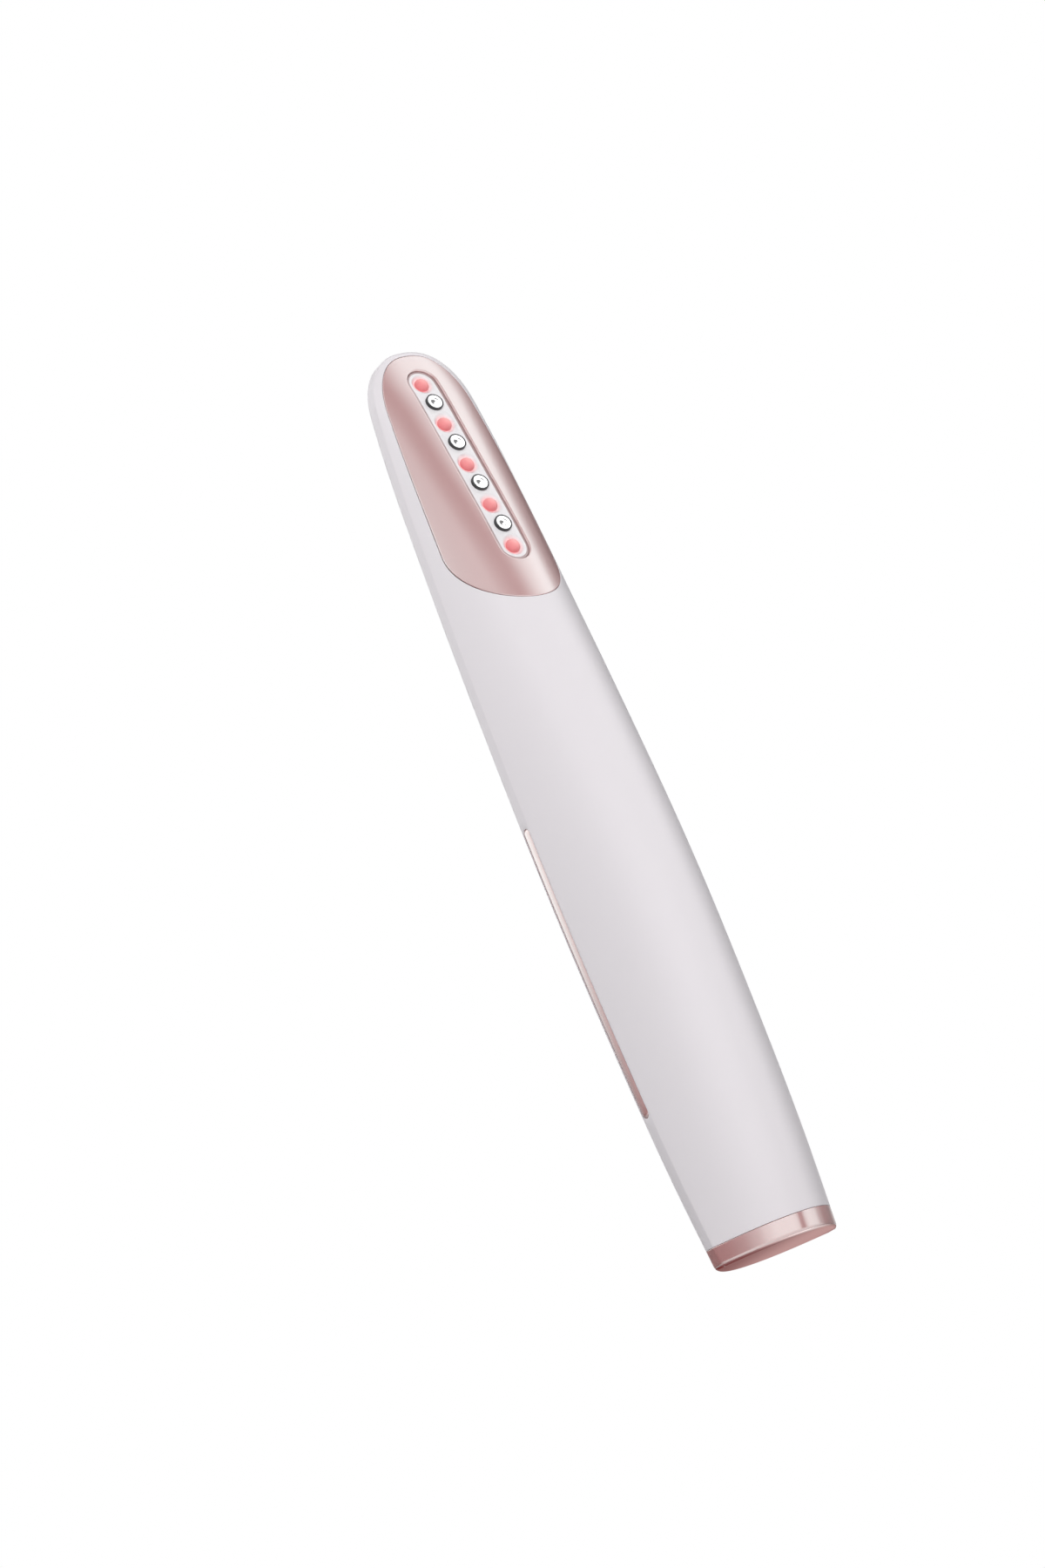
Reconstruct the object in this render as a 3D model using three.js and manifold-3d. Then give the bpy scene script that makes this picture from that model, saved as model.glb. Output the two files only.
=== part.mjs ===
// A hand-held skin firming wand that stands on its end cap: millimetres, +Z along its length to the tip,
// -Y is the treatment front with the lights and contacts, and the middle of the foot is the origin.
import * as THREE from "three";
import { mergeVertices } from "three/addons/utils/BufferGeometryUtils.js";
import Module from "manifold-3d";

// Outline of the whole wand. The shares say how wide and how deep it is at each station of its length.
const length = 168;
const halfWidth = 14.6;
const frontDepth = 14;
const rearDepth = 11.6;
const facetHalf = 1.1;
const tipRounding = 11.2;
const tipRoll = 12;
const crownPower = 2.1;
const tipPower = 2.4;
const stationShares = [0, 0.1, 0.2, 0.4, 0.6, 0.75, 0.88, 1];
const widthShares = [0.849, 0.932, 0.974, 0.998, 0.945, 0.87, 0.773, 0.609];
const frontShares = [0.685, 0.826, 0.919, 0.998, 0.866, 0.678, 0.411, 0.16];
const rearShares = [0.813, 0.936, 0.993, 0.996, 0.947, 0.838, 0.716, 0.569];
const tipEndShare = 0.995;

// Walls and clearances
const wall = 2;
const gap = 0.3;
const fineGap = 0.15;
const overrun = 1;
const leastDrop = 0.05;
const crownSteps = 14;
const bodySteps = 16;
const tipSteps = 7;
const turnSides = 16;
const smallSides = 10;

// End cap with its plug and seal
const capHeight = 3.45;
const capEdge = 0.6;
const plugHeight = 6;
const plugWall = 1.8;
const sealHeight = 1.4;
const sealDepth = 0.9;
const sealUp = 2.2;

// Parting plane of the two half shells, just in front of the rear crease, and the lip that locates them
const partingInset = 0.1;
const parting = facetHalf - partingInset;
const lipInset = 1.15;
const lipHeight = 1.3;

// Head: plate, window, lights and contacts
const plateThickness = 0.9;
const plateWidthShare = 0.85;
const plateTipRim = 1.2;
const plateBottom = 52.1;
const plateArch = 12.3;
const lightCount = 5;
const topLightDown = 7;
const lightSpan = 34.6;
const lightRadius = 1.4;
const lightDepth = 2.15;
const lightDome = 0.6;
const windowHalf = 2.77;
const windowEnd = 2.8;
const windowThickness = 2.2;
const windowSunk = 0.5;
const lightSunk = 1.08;
const dimpleLowRadius = 1.5;
const dimpleHighRadius = 2.1;
const contactRadius = 1.47;
const contactSeat = 0.9;
const contactRim = 1.4;
const contactDome = 0.38;
const contactNeck = 0.9;
const ringSlip = 0.08;
const ringWall = 0.2;
const ringDepth = 1.3;
const ringBelowRim = 0.1;
const chipHeight = 0.65;
const chipHalf = 0.8;
const lightBoardHalf = 3.3;
const lightBoardThickness = 0.8;
const railWidth = 1;
const railInset = 0.45;
const stripThickness = 0.3;
const stripWidth = 1;

// Side keys
const keyMiddle = 53.3;
const keyLength = 52.4;
const keyHalf = 0.85;
const keyGap = 0.2;
const keyProud = 0.2;
const keyTravel = 0.5;
const flangeThickness = 0.8;
const flangeRim = 0.75;
const flangeEnd = 1.2;
const stemHalf = 0.7;
const plungerRadius = 0.7;
const plungerReach = 0.9;
const plungerSunk = 0.8;
const switchDepth = 2.5;
const switchHalf = 1.75;
const switchWidth = 4.4;

// Chassis, boards and cell
const chassisHalf = 6.5;
const chassisAbovePlug = 1.8;
const chassisAboveMotor = 8.5;
const chassisThickness = 1.2;
const chassisRear = -0.2;
const boardHalf = 9.4;
const boardInset = 1;
const boardThickness = 1.2;
const slotAboveCell = 4.6;
const slotHeight = 7.4;
const slotMargin = 0.4;
const cellWidth = 13;
const cellThickness = 5.4;
const cellLength = 44;
const cellInset = 22.5;
const cellCorner = 1.2;
const foamThickness = 0.8;
const foamMargin = 1;
const trayWall = 1.2;
const trayHeight = 3.2;
const controllerSize = 7;
const controllerHeight = 1;
const controllerUp = 27;
const chargeChipSize = 4;
const chargeChipHeight = 1;
const chargeChipUp = 10;
const coilRadius = 2.6;
const coilHeight = 2.5;
const coilUp = 18;

// Screws and their bosses
const bossRadius = 2.4;
const postRadius = 1.9;
const shankRadius = 0.8;
const headRadius = 1.6;
const headHeight = 1.1;
const driveDepth = 0.6;
const driveRadius = 0.7;
const boreWall = 0.4;
const chassisScrewLength = 5.5;
const chassisScrewInset = 10.5;
const chassisScrewAboveSlot = 4.5;
const chassisScrewSide = 4;
const boardScrewInset = 15;
const boardScrewBelowSlot = 3.2;
const boardScrewSide = 4.2;

// Vibration motor
const motorRadius = 3;
const motorLength = 12;
const motorAboveBoard = 7.5;
const sleeveWall = 0.65;
const sleeveLength = 9;
const sleeveUp = 1.5;
const saddleThickness = 1.4;
const saddleEndShare = 0.15;
const shaftRadius = 0.5;
const shaftSunk = 3;
const shaftReach = 4.8;
const weightRadius = 2.8;
const weightLength = 3.4;
const weightHub = 1.3;
const weightUp = 0.8;

// Charging studs on the rear
const studPitch = 8.85;
const studMiddle = 19.1;
const studRadius = 1.1;
const studProud = 0.35;
const studFlange = 1.7;
const studFlangeThickness = 0.75;
const bezelWall = 0.55;
const bezelDepth = 0.9;
const carrierHalf = 3;
const carrierEnd = 4.5;
const carrierThickness = 1.2;
const carrierPost = 0.9;
const postFromStud = 3.2;
const magnetRadius = 2;
const magnetThickness = 1.4;
const magnetSunk = 0.45;
const springRadius = 0.9;
const springTip = 0.55;
const springBarrel = 2.6;

// Leads and ribbon
const leadRadius = 0.45;
const leadSides = 8;
const leadSteps = 10;
const leadReach = 3;
const leadDrop = 6;
const leadTurn = 1.6;
const batteryLeadPlaces = [-3.4, -1.6];
const motorLeadPlaces = [-1, 1];
const ribbonWidth = 2.4;
const ribbonThickness = 0.3;
const ribbonPlace = 1.8;
const ribbonDown = 2.2;
const ribbonBendShare = 0.7;
const ribbonSteps = 16;

const wasm = await Module();
wasm.setup();

// A closed geometry as a solid that can be cut and joined.
function solidOf(geometry) {
  const bare = geometry.clone();
  bare.deleteAttribute("normal");
  bare.deleteAttribute("uv");
  const merged = mergeVertices(bare);
  return new wasm.Manifold(
    new wasm.Mesh({
      numProp: 3,
      vertProperties: new Float32Array(merged.attributes.position.array),
      triVerts: new Uint32Array(merged.index.array),
    }),
  );
}

// The geometry of a solid.
function geometryOf(solid) {
  const made = solid.getMesh();
  const geometry = new THREE.BufferGeometry();
  geometry.setAttribute("position", new THREE.BufferAttribute(made.vertProperties, 3));
  geometry.setIndex(new THREE.BufferAttribute(made.triVerts, 1));
  geometry.computeVertexNormals();
  return geometry;
}

// A smooth curve through the shares of the stations, read at a share of the length.
function curveThrough(shares) {
  const curve = new THREE.CubicInterpolant(stationShares, shares, 1);
  return (share) => curve.evaluate(THREE.MathUtils.clamp(share, 0, 1))[0];
}
const widthCurve = curveThrough(widthShares);
const frontCurve = curveThrough(frontShares);
const rearCurve = curveThrough(rearShares);

// How far a place lies into the rounding of the tip, from 0 at its start to nearly 1 at the very top.
function tipProgress(z, rounding, inset) {
  const into = (z - (length - rounding)) / (rounding - inset);
  return THREE.MathUtils.clamp(into, 0, 1) * tipEndShare;
}

// Half width, front depth and rear depth at a height, on a surface that lies inset below the outside.
function sectionAt(z, inset) {
  const share = z / length;
  const outline = (1 - tipProgress(z, tipRounding, inset) ** tipPower) ** (1 / tipPower);
  const roll = Math.sqrt(1 - tipProgress(z, tipRoll, inset) ** 2);
  return {
    half: (halfWidth * widthCurve(share) - inset) * outline,
    front: facetHalf + (frontDepth * frontCurve(share) - facetHalf) * roll - inset,
    rear: facetHalf + (rearDepth * rearCurve(share) - facetHalf) * roll - inset,
  };
}

// The closed outline at a height: the crowned front, a side facet, the crowned rear and the other facet.
function ringAt(z, inset, rise = 0) {
  const section = sectionAt(z, inset);
  const points = [];
  for (const side of [-1, 1]) {
    const depth = side < 0 ? section.front : section.rear;
    const drop = Math.max(depth - facetHalf, leastDrop);
    for (let step = 0; step <= crownSteps; step++) {
      const across = Math.cos((Math.PI * step) / crownSteps);
      const crown = 1 - Math.abs(across) ** crownPower;
      const y = side * (depth - drop + drop * crown);
      points.push(new THREE.Vector3(side * section.half * across, y, z + rise));
    }
  }
  return points;
}

// A closed geometry through a stack of rings, flat at both ends.
function loft(rings) {
  const count = rings[0].length;
  const centres = [rings[0], rings[rings.length - 1]].map((ring) =>
    ring.reduce((sum, point) => sum.add(point), new THREE.Vector3()).divideScalar(count),
  );
  const points = [...rings.flat(), ...centres];
  const bottom = points.length - 2;
  const top = points.length - 1;
  const index = [];
  for (let side = 0; side < count; side++) {
    const next = (side + 1) % count;
    index.push(bottom, next, side);
    for (let level = 0; level < rings.length - 1; level++) {
      const low = level * count;
      const high = low + count;
      index.push(low + side, low + next, high + next);
      index.push(low + side, high + next, high + side);
    }
    index.push(top, bottom - count + side, bottom - count + next);
  }
  const geometry = new THREE.BufferGeometry().setFromPoints(points);
  geometry.setIndex(index);
  return geometry;
}

// The whole body below the outside by inset, from a height up to its tip.
function body(inset, from, steps = bodySteps) {
  const tipStart = length - Math.max(tipRounding, tipRoll);
  const rings = [];
  for (let step = 0; step < steps; step++) {
    rings.push(ringAt(from + ((tipStart - from) * step) / steps, inset));
  }
  for (let step = 0; step <= tipSteps; step++) {
    const rise = Math.sin((Math.PI / 2) * (step / tipSteps));
    rings.push(ringAt(tipStart + (length - inset - tipStart) * rise, inset));
  }
  return solidOf(loft(rings));
}

// A level slice of the body below the outside by inset.
function slice(inset, from, to) {
  return solidOf(loft([ringAt(from, inset), ringAt((from + to) / 2, inset), ringAt(to, inset)]));
}

// A block between two corners.
function block(from, to) {
  const low = new THREE.Vector3(...from);
  const high = new THREE.Vector3(...to);
  const size = high.clone().sub(low);
  const middle = low.add(high).divideScalar(2);
  return new THREE.BoxGeometry(size.x, size.y, size.z).translate(middle.x, middle.y, middle.z);
}

// A turned piece along +Y, from points of radius and height that start and end on its axis or close.
function turned(profile, sides = turnSides) {
  return new THREE.LatheGeometry(
    profile.map(([radius, height]) => new THREE.Vector2(radius, height)),
    sides,
  );
}

// A plain round bar along +Y between two heights.
function bar(radius, from, to, sides = turnSides) {
  return turned([[0, from], [radius, from], [radius, to], [0, to]], sides);
}

// An outline with round ends, upright about the middle of a strip.
function roundEnded(half, low, high) {
  const shape = new THREE.Shape();
  shape.absarc(0, high - half, half, 0, Math.PI);
  shape.absarc(0, low + half, half, Math.PI, 2 * Math.PI);
  return shape;
}

// An outline in X and Z pushed along Y from one place to another.
function alongY(shape, from, to, curveSegments = smallSides) {
  const pushed = new THREE.ExtrudeGeometry(shape, { depth: to - from, bevelEnabled: false, curveSegments });
  return pushed.rotateX(Math.PI / 2).translate(0, to, 0);
}

// An outline in Y and Z pushed along X from one place to another.
function alongX(shape, from, to, curveSegments = smallSides) {
  const pushed = new THREE.ExtrudeGeometry(shape, { depth: to - from, bevelEnabled: false, curveSegments });
  return pushed.rotateX(Math.PI / 2).rotateZ(Math.PI / 2).translate(from, 0, 0);
}

// A finish of a sub-part.
function finish(color, roughness, metalness) {
  return new THREE.MeshStandardMaterial({ color, roughness, metalness });
}
const matteShell = () => finish(0xe2dee3, 0.45, 0);
const roseGold = () => finish(0xc8a09e, 0.25, 1);
const paleWindow = () => finish(0xecebee, 0.3, 0);
const redLens = () => finish(0xff8c8c, 0.2, 0);
const brightChrome = () => finish(0xf2f3f5, 0.08, 1);
const darkRubber = () => finish(0x3a3a3d, 0.7, 0);
const gunmetal = () => finish(0x7d7a7e, 0.3, 1);
const paleRing = () => finish(0xd8d5da, 0.4, 0);
const innerPlastic = () => finish(0x55575c, 0.6, 0);
const boardGreen = () => finish(0x1f6b45, 0.5, 0);
const chipBlack = () => finish(0x1b1b1e, 0.4, 0);
const cellFoil = () => finish(0xb9bcc2, 0.35, 0.8);
const foamGrey = () => finish(0x2c2c2f, 0.9, 0);
const steel = () => finish(0xb7babd, 0.25, 1);
const springBrass = () => finish(0xc9a35c, 0.3, 1);
const ribbonWhite = () => finish(0xe9e9e4, 0.5, 0);
const leadRed = () => finish(0xb62a2a, 0.5, 0);
const leadBlack = () => finish(0x202022, 0.5, 0);
const ferrite = () => finish(0x4a4744, 0.6, 0.2);
const warmDiode = () => finish(0xf4e8b0, 0.4, 0);

// Adds a named mesh to a group.
function place(group, name, geometry, material) {
  const mesh = new THREE.Mesh(geometry, material);
  mesh.name = name;
  group.add(mesh);
  return mesh;
}

const wand = new THREE.Group();

// The head frame: its origin is on the front surface in the middle of the row of lights, +Y points out of
// the plate and +Z runs up the sloped front.
const topLight = length - topLightDown;
const lowLight = topLight - lightSpan;
const topDepth = sectionAt(topLight, 0).front;
const lowDepth = sectionAt(lowLight, 0).front;
const lightPitch = Math.hypot(lightSpan, lowDepth - topDepth) / (lightCount - 1);
const rowHalf = (lightPitch * (lightCount - 1)) / 2;
const head = new THREE.Group();
head.position.set(0, -(topDepth + lowDepth) / 2, (topLight + lowLight) / 2);
head.rotation.set(-Math.atan2(lowDepth - topDepth, lightSpan), 0, Math.PI);
head.updateMatrix();
wand.add(head);

// Depths in the head frame, counted from the surface inwards; the window lies a little below the plate
const chipTop = -lightDepth - gap;
const lightBoardFront = chipTop - chipHeight - fineGap;
const lightBoardRear = lightBoardFront - lightBoardThickness;
const lightBoardReach = rowHalf + windowEnd - railInset;
const stripRear = lightBoardFront + fineGap;
const stripFront = stripRear + stripThickness;
const contactUnder = -windowSunk - contactSeat;
const ringTop = contactUnder + contactRim - ringBelowRim;
const ringBore = contactRadius + ringSlip;
const ringRadius = ringBore + ringWall;

// Outline of the head plate, seen from the front: an arch at its lower end, and sides that follow the body.
function plateOutline(grow) {
  const archTop = length - plateBottom + plateArch;
  const archHalf = plateWidthShare * sectionAt(archTop, 0).half + grow;
  const plateTop = length - plateTipRim + grow;
  const side = [];
  const archSteps = smallSides;
  for (let step = 0; step < archSteps; step++) {
    const turn = (Math.PI / 2) * (step / archSteps);
    side.push([archHalf * Math.sin(turn), archTop - (plateArch + grow) * Math.cos(turn)]);
  }
  const sideSteps = tipSteps * 2;
  for (let step = 0; step < sideSteps; step++) {
    const rise = Math.sin((Math.PI / 2) * (step / sideSteps));
    const z = archTop + (plateTop - archTop) * rise;
    const bodyZ = archTop + (length - archTop) * rise;
    side.push([plateWidthShare * sectionAt(bodyZ, 0).half + grow * (1 - rise), z]);
  }
  const shape = new THREE.Shape();
  shape.moveTo(...side[0]);
  side.slice(1).forEach(([x, z]) => shape.lineTo(x, z));
  shape.lineTo(0, plateTop);
  side.slice(1).reverse().forEach(([x, z]) => shape.lineTo(-x, z));
  return shape;
}

// Everything of the head that lies under the plate outline down to a depth below the surface.
function plateRegion(depth, grow) {
  const prism = solidOf(alongY(plateOutline(grow), -frontDepth - overrun, 0));
  return prism.intersect(body(-overrun, 0)).subtract(body(depth, 0));
}

// A round-ended prism along the row of lights, between two depths of the head frame.
function rowPrism(half, end, from, to) {
  const reach = rowHalf + end;
  return solidOf(alongY(roundEnded(half, -reach, reach), from, to).applyMatrix4(head.matrix));
}

// A block given in the head frame, as a solid of the wand.
function headBlock(from, to) {
  return solidOf(block(from, to).applyMatrix4(head.matrix));
}

// Places of the lights and of the contacts between them, along the row.
const lightPlaces = Array.from({ length: lightCount }, (_, i) => rowHalf - i * lightPitch);
const contactPlaces = lightPlaces.slice(1).map((z) => z + lightPitch / 2);

// Levels of the inner pieces in Z, from the plug of the end cap upwards
const chassisBottom = capHeight + plugHeight + chassisAbovePlug;
const boardBottom = chassisBottom + boardInset;
const cellBottom = chassisBottom + cellInset;
const cellTop = cellBottom + cellLength;
const slotLow = cellTop + slotAboveCell;
const slotHigh = slotLow + slotHeight;
const boardTop = slotHigh;
const motorBottom = boardTop + motorAboveBoard;
const motorTop = motorBottom + motorLength;
const chassisTop = motorTop + chassisAboveMotor;
const chassisScrewPlaces = [
  { x: 0, z: chassisBottom + chassisScrewInset },
  { x: -chassisScrewSide, z: slotHigh + chassisScrewAboveSlot },
];
const boardScrewPlaces = [
  { x: boardScrewSide, z: boardBottom + boardScrewInset },
  { x: -boardScrewSide, z: slotLow - boardScrewBelowSlot },
];

// Levels of the inner pieces in Y, from the front to the rear
const chassisFront = chassisRear - chassisThickness;
const foamFront = chassisFront - foamThickness;
const cellFront = foamFront - cellThickness;
const boardFront = switchHalf;
const boardRear = boardFront + boardThickness;

// The slot of a side key, which is open towards the rear shell.
const keyLow = keyMiddle - keyLength / 2;
const keyHigh = keyMiddle + keyLength / 2;
function keySlot(side) {
  const outer = halfWidth + overrun;
  const inner = halfWidth - wall * 2 - gap;
  const low = keyLow - keyGap;
  const high = keyHigh + keyGap;
  const from = side < 0 ? -outer : inner;
  const to = side < 0 ? -inner : outer;
  const rounded = solidOf(alongX(roundEnded(keyHalf + keyGap, low, high), from, to));
  const mouth = block([from, 0, low + keyHalf], [to, parting + overrun, high - keyHalf]);
  return rounded.add(solidOf(mouth));
}

// A block that frees the lip from the room of a side key.
function keyRoom(side) {
  const outer = halfWidth + overrun;
  const inner = halfWidth - wall * 2 - gap;
  const from = side < 0 ? -outer : inner;
  const to = side < 0 ? -inner : outer;
  const end = flangeEnd + gap;
  return solidOf(block([from, -frontDepth, keyLow - end], [to, parting, keyHigh + end]));
}

// Front shell: the crowned front and both side facets, with the seat of the head plate, the slot of the
// window, rails for the light board, the slots of the keys and the bosses that the chassis is screwed to.
function frontShell() {
  let shell = body(0, capHeight).subtract(body(wall, 0)).intersect(slab(-frontDepth - overrun, parting));
  const insideWall = body(wall / 2, 0);
  for (const side of [-1, 1]) {
    const rail = [side * (lightBoardHalf - railInset), side * (lightBoardHalf - railInset + railWidth)];
    const low = [Math.min(...rail), lightBoardFront + fineGap, -lightBoardReach];
    const high = [Math.max(...rail), 0, lightBoardReach];
    shell = shell.add(headBlock(low, high).intersect(insideWall));
  }
  for (const { x, z } of chassisScrewPlaces) {
    const boss = bar(bossRadius, -frontDepth, chassisFront).translate(x, 0, z);
    shell = shell.add(solidOf(boss).intersect(insideWall));
    const bore = bar(shankRadius + fineGap, chassisRear - chassisScrewLength - gap, chassisFront + overrun);
    shell = shell.subtract(solidOf(bore.translate(x, 0, z)));
  }
  const rebate = slab(parting - lipHeight - gap, parting + overrun);
  shell = shell.subtract(body(lipInset - gap, 0).intersect(rebate));
  shell = shell.subtract(plateRegion(plateThickness + gap, gap));
  return shell.subtract(lightRoom()).subtract(keySlot(-1)).subtract(keySlot(1));
}

// The room of the light board and of the window in front of it, cut out of both shells.
function lightRoom() {
  const half = lightBoardHalf + gap;
  const reach = lightBoardReach + gap;
  const low = lightBoardRear - gap;
  const room = headBlock([-half, low, -reach], [half, lightBoardFront + fineGap, reach]);
  return room.add(rowPrism(windowHalf + fineGap, windowEnd + fineGap, lightBoardFront, overrun));
}

// Everything between two planes in Y.
function slab(from, to) {
  const reach = length * 2;
  return solidOf(block([-reach, from, -reach], [reach, to, reach]));
}

// Rear shell: the crowned rear, with the lip that enters the front shell, the two stepped holes of the
// charging studs and the posts that hold their carrier.
function rearShell() {
  let shell = body(0, capHeight).subtract(body(wall, 0)).intersect(slab(parting, rearDepth + overrun));
  const lip = body(lipInset, capHeight).subtract(body(wall, 0));
  shell = shell.add(lip.intersect(slab(parting - lipHeight, parting + overrun)));
  for (const side of [-1, 1]) {
    shell = shell.subtract(keyRoom(side));
    const post = bar(carrierPost, carrierFront - carrierThickness - gap, -wall / 2, smallSides);
    post.translate(0, 0, side * postPlace).applyMatrix4(charge.matrix);
    shell = shell.add(solidOf(post));
  }
  for (const z of studPlaces) {
    const hole = turned(
      [
        [0, -wall - overrun],
        [studRadius + fineGap, -wall - overrun],
        [studRadius + fineGap, -bezelDepth - fineGap],
        [bezelRadius + fineGap, -bezelDepth - fineGap],
        [bezelRadius + fineGap, overrun],
        [0, overrun],
      ],
      turnSides,
    );
    shell = shell.subtract(solidOf(hole.translate(0, 0, z).applyMatrix4(charge.matrix)));
  }
  return shell.subtract(lightRoom());
}

// The charging frame: its origin is on the rear surface midway between the studs, +Y points outwards.
const charge = new THREE.Group();
const chargeTop = sectionAt(studMiddle + studPitch / 2, 0).rear;
const chargeLow = sectionAt(studMiddle - studPitch / 2, 0).rear;
charge.position.set(0, (chargeTop + chargeLow) / 2, studMiddle);
charge.rotation.x = -Math.atan2(chargeTop - chargeLow, studPitch);
charge.updateMatrix();
wand.add(charge);
const studPlaces = [studPitch / 2, -studPitch / 2];
const bezelRadius = studRadius + fineGap + bezelWall;
const flangeFront = -wall - gap;
const carrierFront = flangeFront - studFlangeThickness - gap;
const postPlace = studPitch / 2 + postFromStud;

place(wand, "front_shell", geometryOf(frontShell()), matteShell());
place(wand, "rear_shell", geometryOf(rearShell()), matteShell());

// End cap: a flat foot with a rounded lower edge and a hollow plug that carries the seal.
function endCap() {
  const rings = [];
  for (const turn of [0, 1, 2, 3]) {
    const angle = (Math.PI / 2) * (turn / 3);
    const inset = capEdge * (1 - Math.sin(angle));
    rings.push(ringAt(capEdge * (1 - Math.cos(angle)), inset));
  }
  rings.push(ringAt(capHeight, 0));
  const plugTop = capHeight + plugHeight;
  const plug = slice(wall + gap, capHeight - fineGap, plugTop);
  const hollow = slice(wall + gap + plugWall, capHeight, plugTop + overrun);
  const low = capHeight + sealUp;
  const high = low + sealHeight + gap;
  const groove = slice(0, low, high).subtract(slice(wall + gap + sealDepth, low, high));
  return solidOf(loft(rings)).add(plug).subtract(hollow).subtract(groove);
}

// Seal: a soft ring in the groove of the plug.
function capSeal() {
  const low = capHeight + sealUp + gap / 2;
  const high = low + sealHeight;
  const outer = slice(wall + fineGap, low, high);
  return outer.subtract(slice(wall + gap + sealDepth - fineGap, low, high));
}

place(wand, "end_cap", geometryOf(endCap()), roseGold());
place(wand, "cap_seal", geometryOf(capSeal()), darkRubber());

// Head plate: a thin skin in the seat of the front shell with the slot of the window.
function headPlate() {
  const plate = plateRegion(plateThickness, 0).intersect(body(0, 0));
  return plate.subtract(rowPrism(windowHalf + fineGap, windowEnd + fineGap, lightBoardFront, overrun));
}

// Dimple of a light: a shallow cone in the window bar that ends at the foot of the lens.
function dimple() {
  return turned([
    [0, -lightSunk],
    [dimpleLowRadius, -lightSunk],
    [dimpleHighRadius, -windowSunk],
    [dimpleHighRadius, overrun],
    [0, overrun],
  ]);
}

// Window bar: a pale strip with round ends that follows the front surface a little below the plate, with a
// dimple round each light.
function windowBar() {
  let strip = rowPrism(windowHalf, windowEnd, -windowThickness, overrun).intersect(body(windowSunk, 0));
  const hole = (radius, z) => {
    const cut = bar(radius + fineGap, -windowThickness - overrun, overrun).translate(0, 0, z);
    return solidOf(cut.applyMatrix4(head.matrix));
  };
  for (const z of lightPlaces) {
    strip = strip.subtract(hole(lightRadius, z));
    strip = strip.subtract(solidOf(dimple().translate(0, 0, z).applyMatrix4(head.matrix)));
  }
  for (const z of contactPlaces) {
    strip = strip.subtract(hole(ringRadius, z));
  }
  return strip;
}

place(wand, "head_plate", geometryOf(headPlate()), roseGold());
place(wand, "window_bar", geometryOf(windowBar()), paleWindow());

// Light lens: a short clear rod with a domed top.
function lightLens() {
  const profile = [[0, -lightDepth], [lightRadius, -lightDepth]];
  for (const turn of [0, 1, 2, 3]) {
    const angle = (Math.PI / 2) * (turn / 3);
    profile.push([lightRadius * Math.cos(angle), lightDome * Math.sin(angle) - lightSunk]);
  }
  return turned(profile);
}

// Contact pin: a domed head on a neck that reaches the contact strip.
function contactPin() {
  const low = stripFront + fineGap;
  const profile = [
    [0, low],
    [contactNeck, low],
    [contactNeck, contactUnder],
    [contactRadius, contactUnder],
  ];
  for (const turn of [0, 1, 2, 3, 4]) {
    const angle = (Math.PI / 2) * (turn / 4);
    const height = contactUnder + contactRim + contactDome * Math.sin(angle);
    profile.push([contactRadius * Math.cos(angle), height]);
  }
  return turned(profile);
}

// Contact ring: the thin dark sleeve between the head of a pin and the window bar.
function contactRing() {
  return turned([
    [ringBore, ringTop - ringDepth],
    [ringRadius, ringTop - ringDepth],
    [ringRadius, ringTop],
    [ringBore, ringTop],
    [ringBore, ringTop - ringDepth],
  ]);
}

// Light chip: a square diode on the light board.
function lightChip() {
  return block([-chipHalf, chipTop - chipHeight, -chipHalf], [chipHalf, chipTop, chipHalf]);
}

lightPlaces.forEach((z, i) => {
  place(head, `light_lens_${i + 1}`, lightLens(), redLens()).position.z = z;
  place(head, `light_chip_${i + 1}`, lightChip(), warmDiode()).position.z = z;
});
contactPlaces.forEach((z, i) => {
  place(head, `contact_pin_${i + 1}`, contactPin(), brightChrome()).position.z = z;
  place(head, `contact_ring_${i + 1}`, contactRing(), darkRubber()).position.z = z;
});

// Contact strip: one spring strip beside the diodes with a tab under each contact pin.
function contactStrip() {
  const inner = chipHalf + gap;
  const outer = inner + stripWidth;
  const end = contactNeck;
  const low = contactPlaces[contactPlaces.length - 1] - end;
  let strip = solidOf(block([inner, stripRear, low], [outer, stripFront, contactPlaces[0] + end]));
  for (const z of contactPlaces) {
    const tab = block([-contactNeck, stripRear, z - end], [outer, stripFront, z + end]);
    strip = strip.add(solidOf(tab));
  }
  return strip;
}

// Light board: the small board on the rails behind the window.
function lightBoard() {
  const half = lightBoardHalf;
  return block([-half, lightBoardRear, -lightBoardReach], [half, lightBoardFront, lightBoardReach]);
}

place(head, "contact_strip", geometryOf(contactStrip()), springBrass());
place(head, "light_board", lightBoard(), boardGreen());

// Side key: a long narrow bar that follows the facet, with a flange behind the wall and a stem in the
// middle that works the switch.
function sideKey(side) {
  const outer = halfWidth + overrun;
  const from = side < 0 ? -outer : 0;
  const to = side < 0 ? 0 : outer;
  const flangeOuter = wall + gap;
  const flangeInner = flangeOuter + flangeThickness;
  const narrow = solidOf(alongX(roundEnded(keyHalf, keyLow, keyHigh), from, to));
  const rim = keyHalf + flangeRim;
  const wide = solidOf(alongX(roundEnded(rim, keyLow - flangeEnd, keyHigh + flangeEnd), from, to));
  const face = narrow.intersect(body(-keyProud, 0)).subtract(body(flangeInner - fineGap, 0));
  const flange = wide.intersect(body(flangeOuter, 0)).subtract(body(flangeInner, 0));
  const stemFrom = side * stemEnd;
  const stemTo = side * (sectionAt(keyMiddle, flangeInner).half + fineGap);
  const stem = block(
    [Math.min(stemFrom, stemTo), -stemHalf, keyMiddle - stemHalf],
    [Math.max(stemFrom, stemTo), stemHalf, keyMiddle + stemHalf],
  );
  return face.add(flange).add(solidOf(stem));
}
const plungerEnd = boardHalf + plungerReach;
const stemEnd = plungerEnd + gap;

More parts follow.
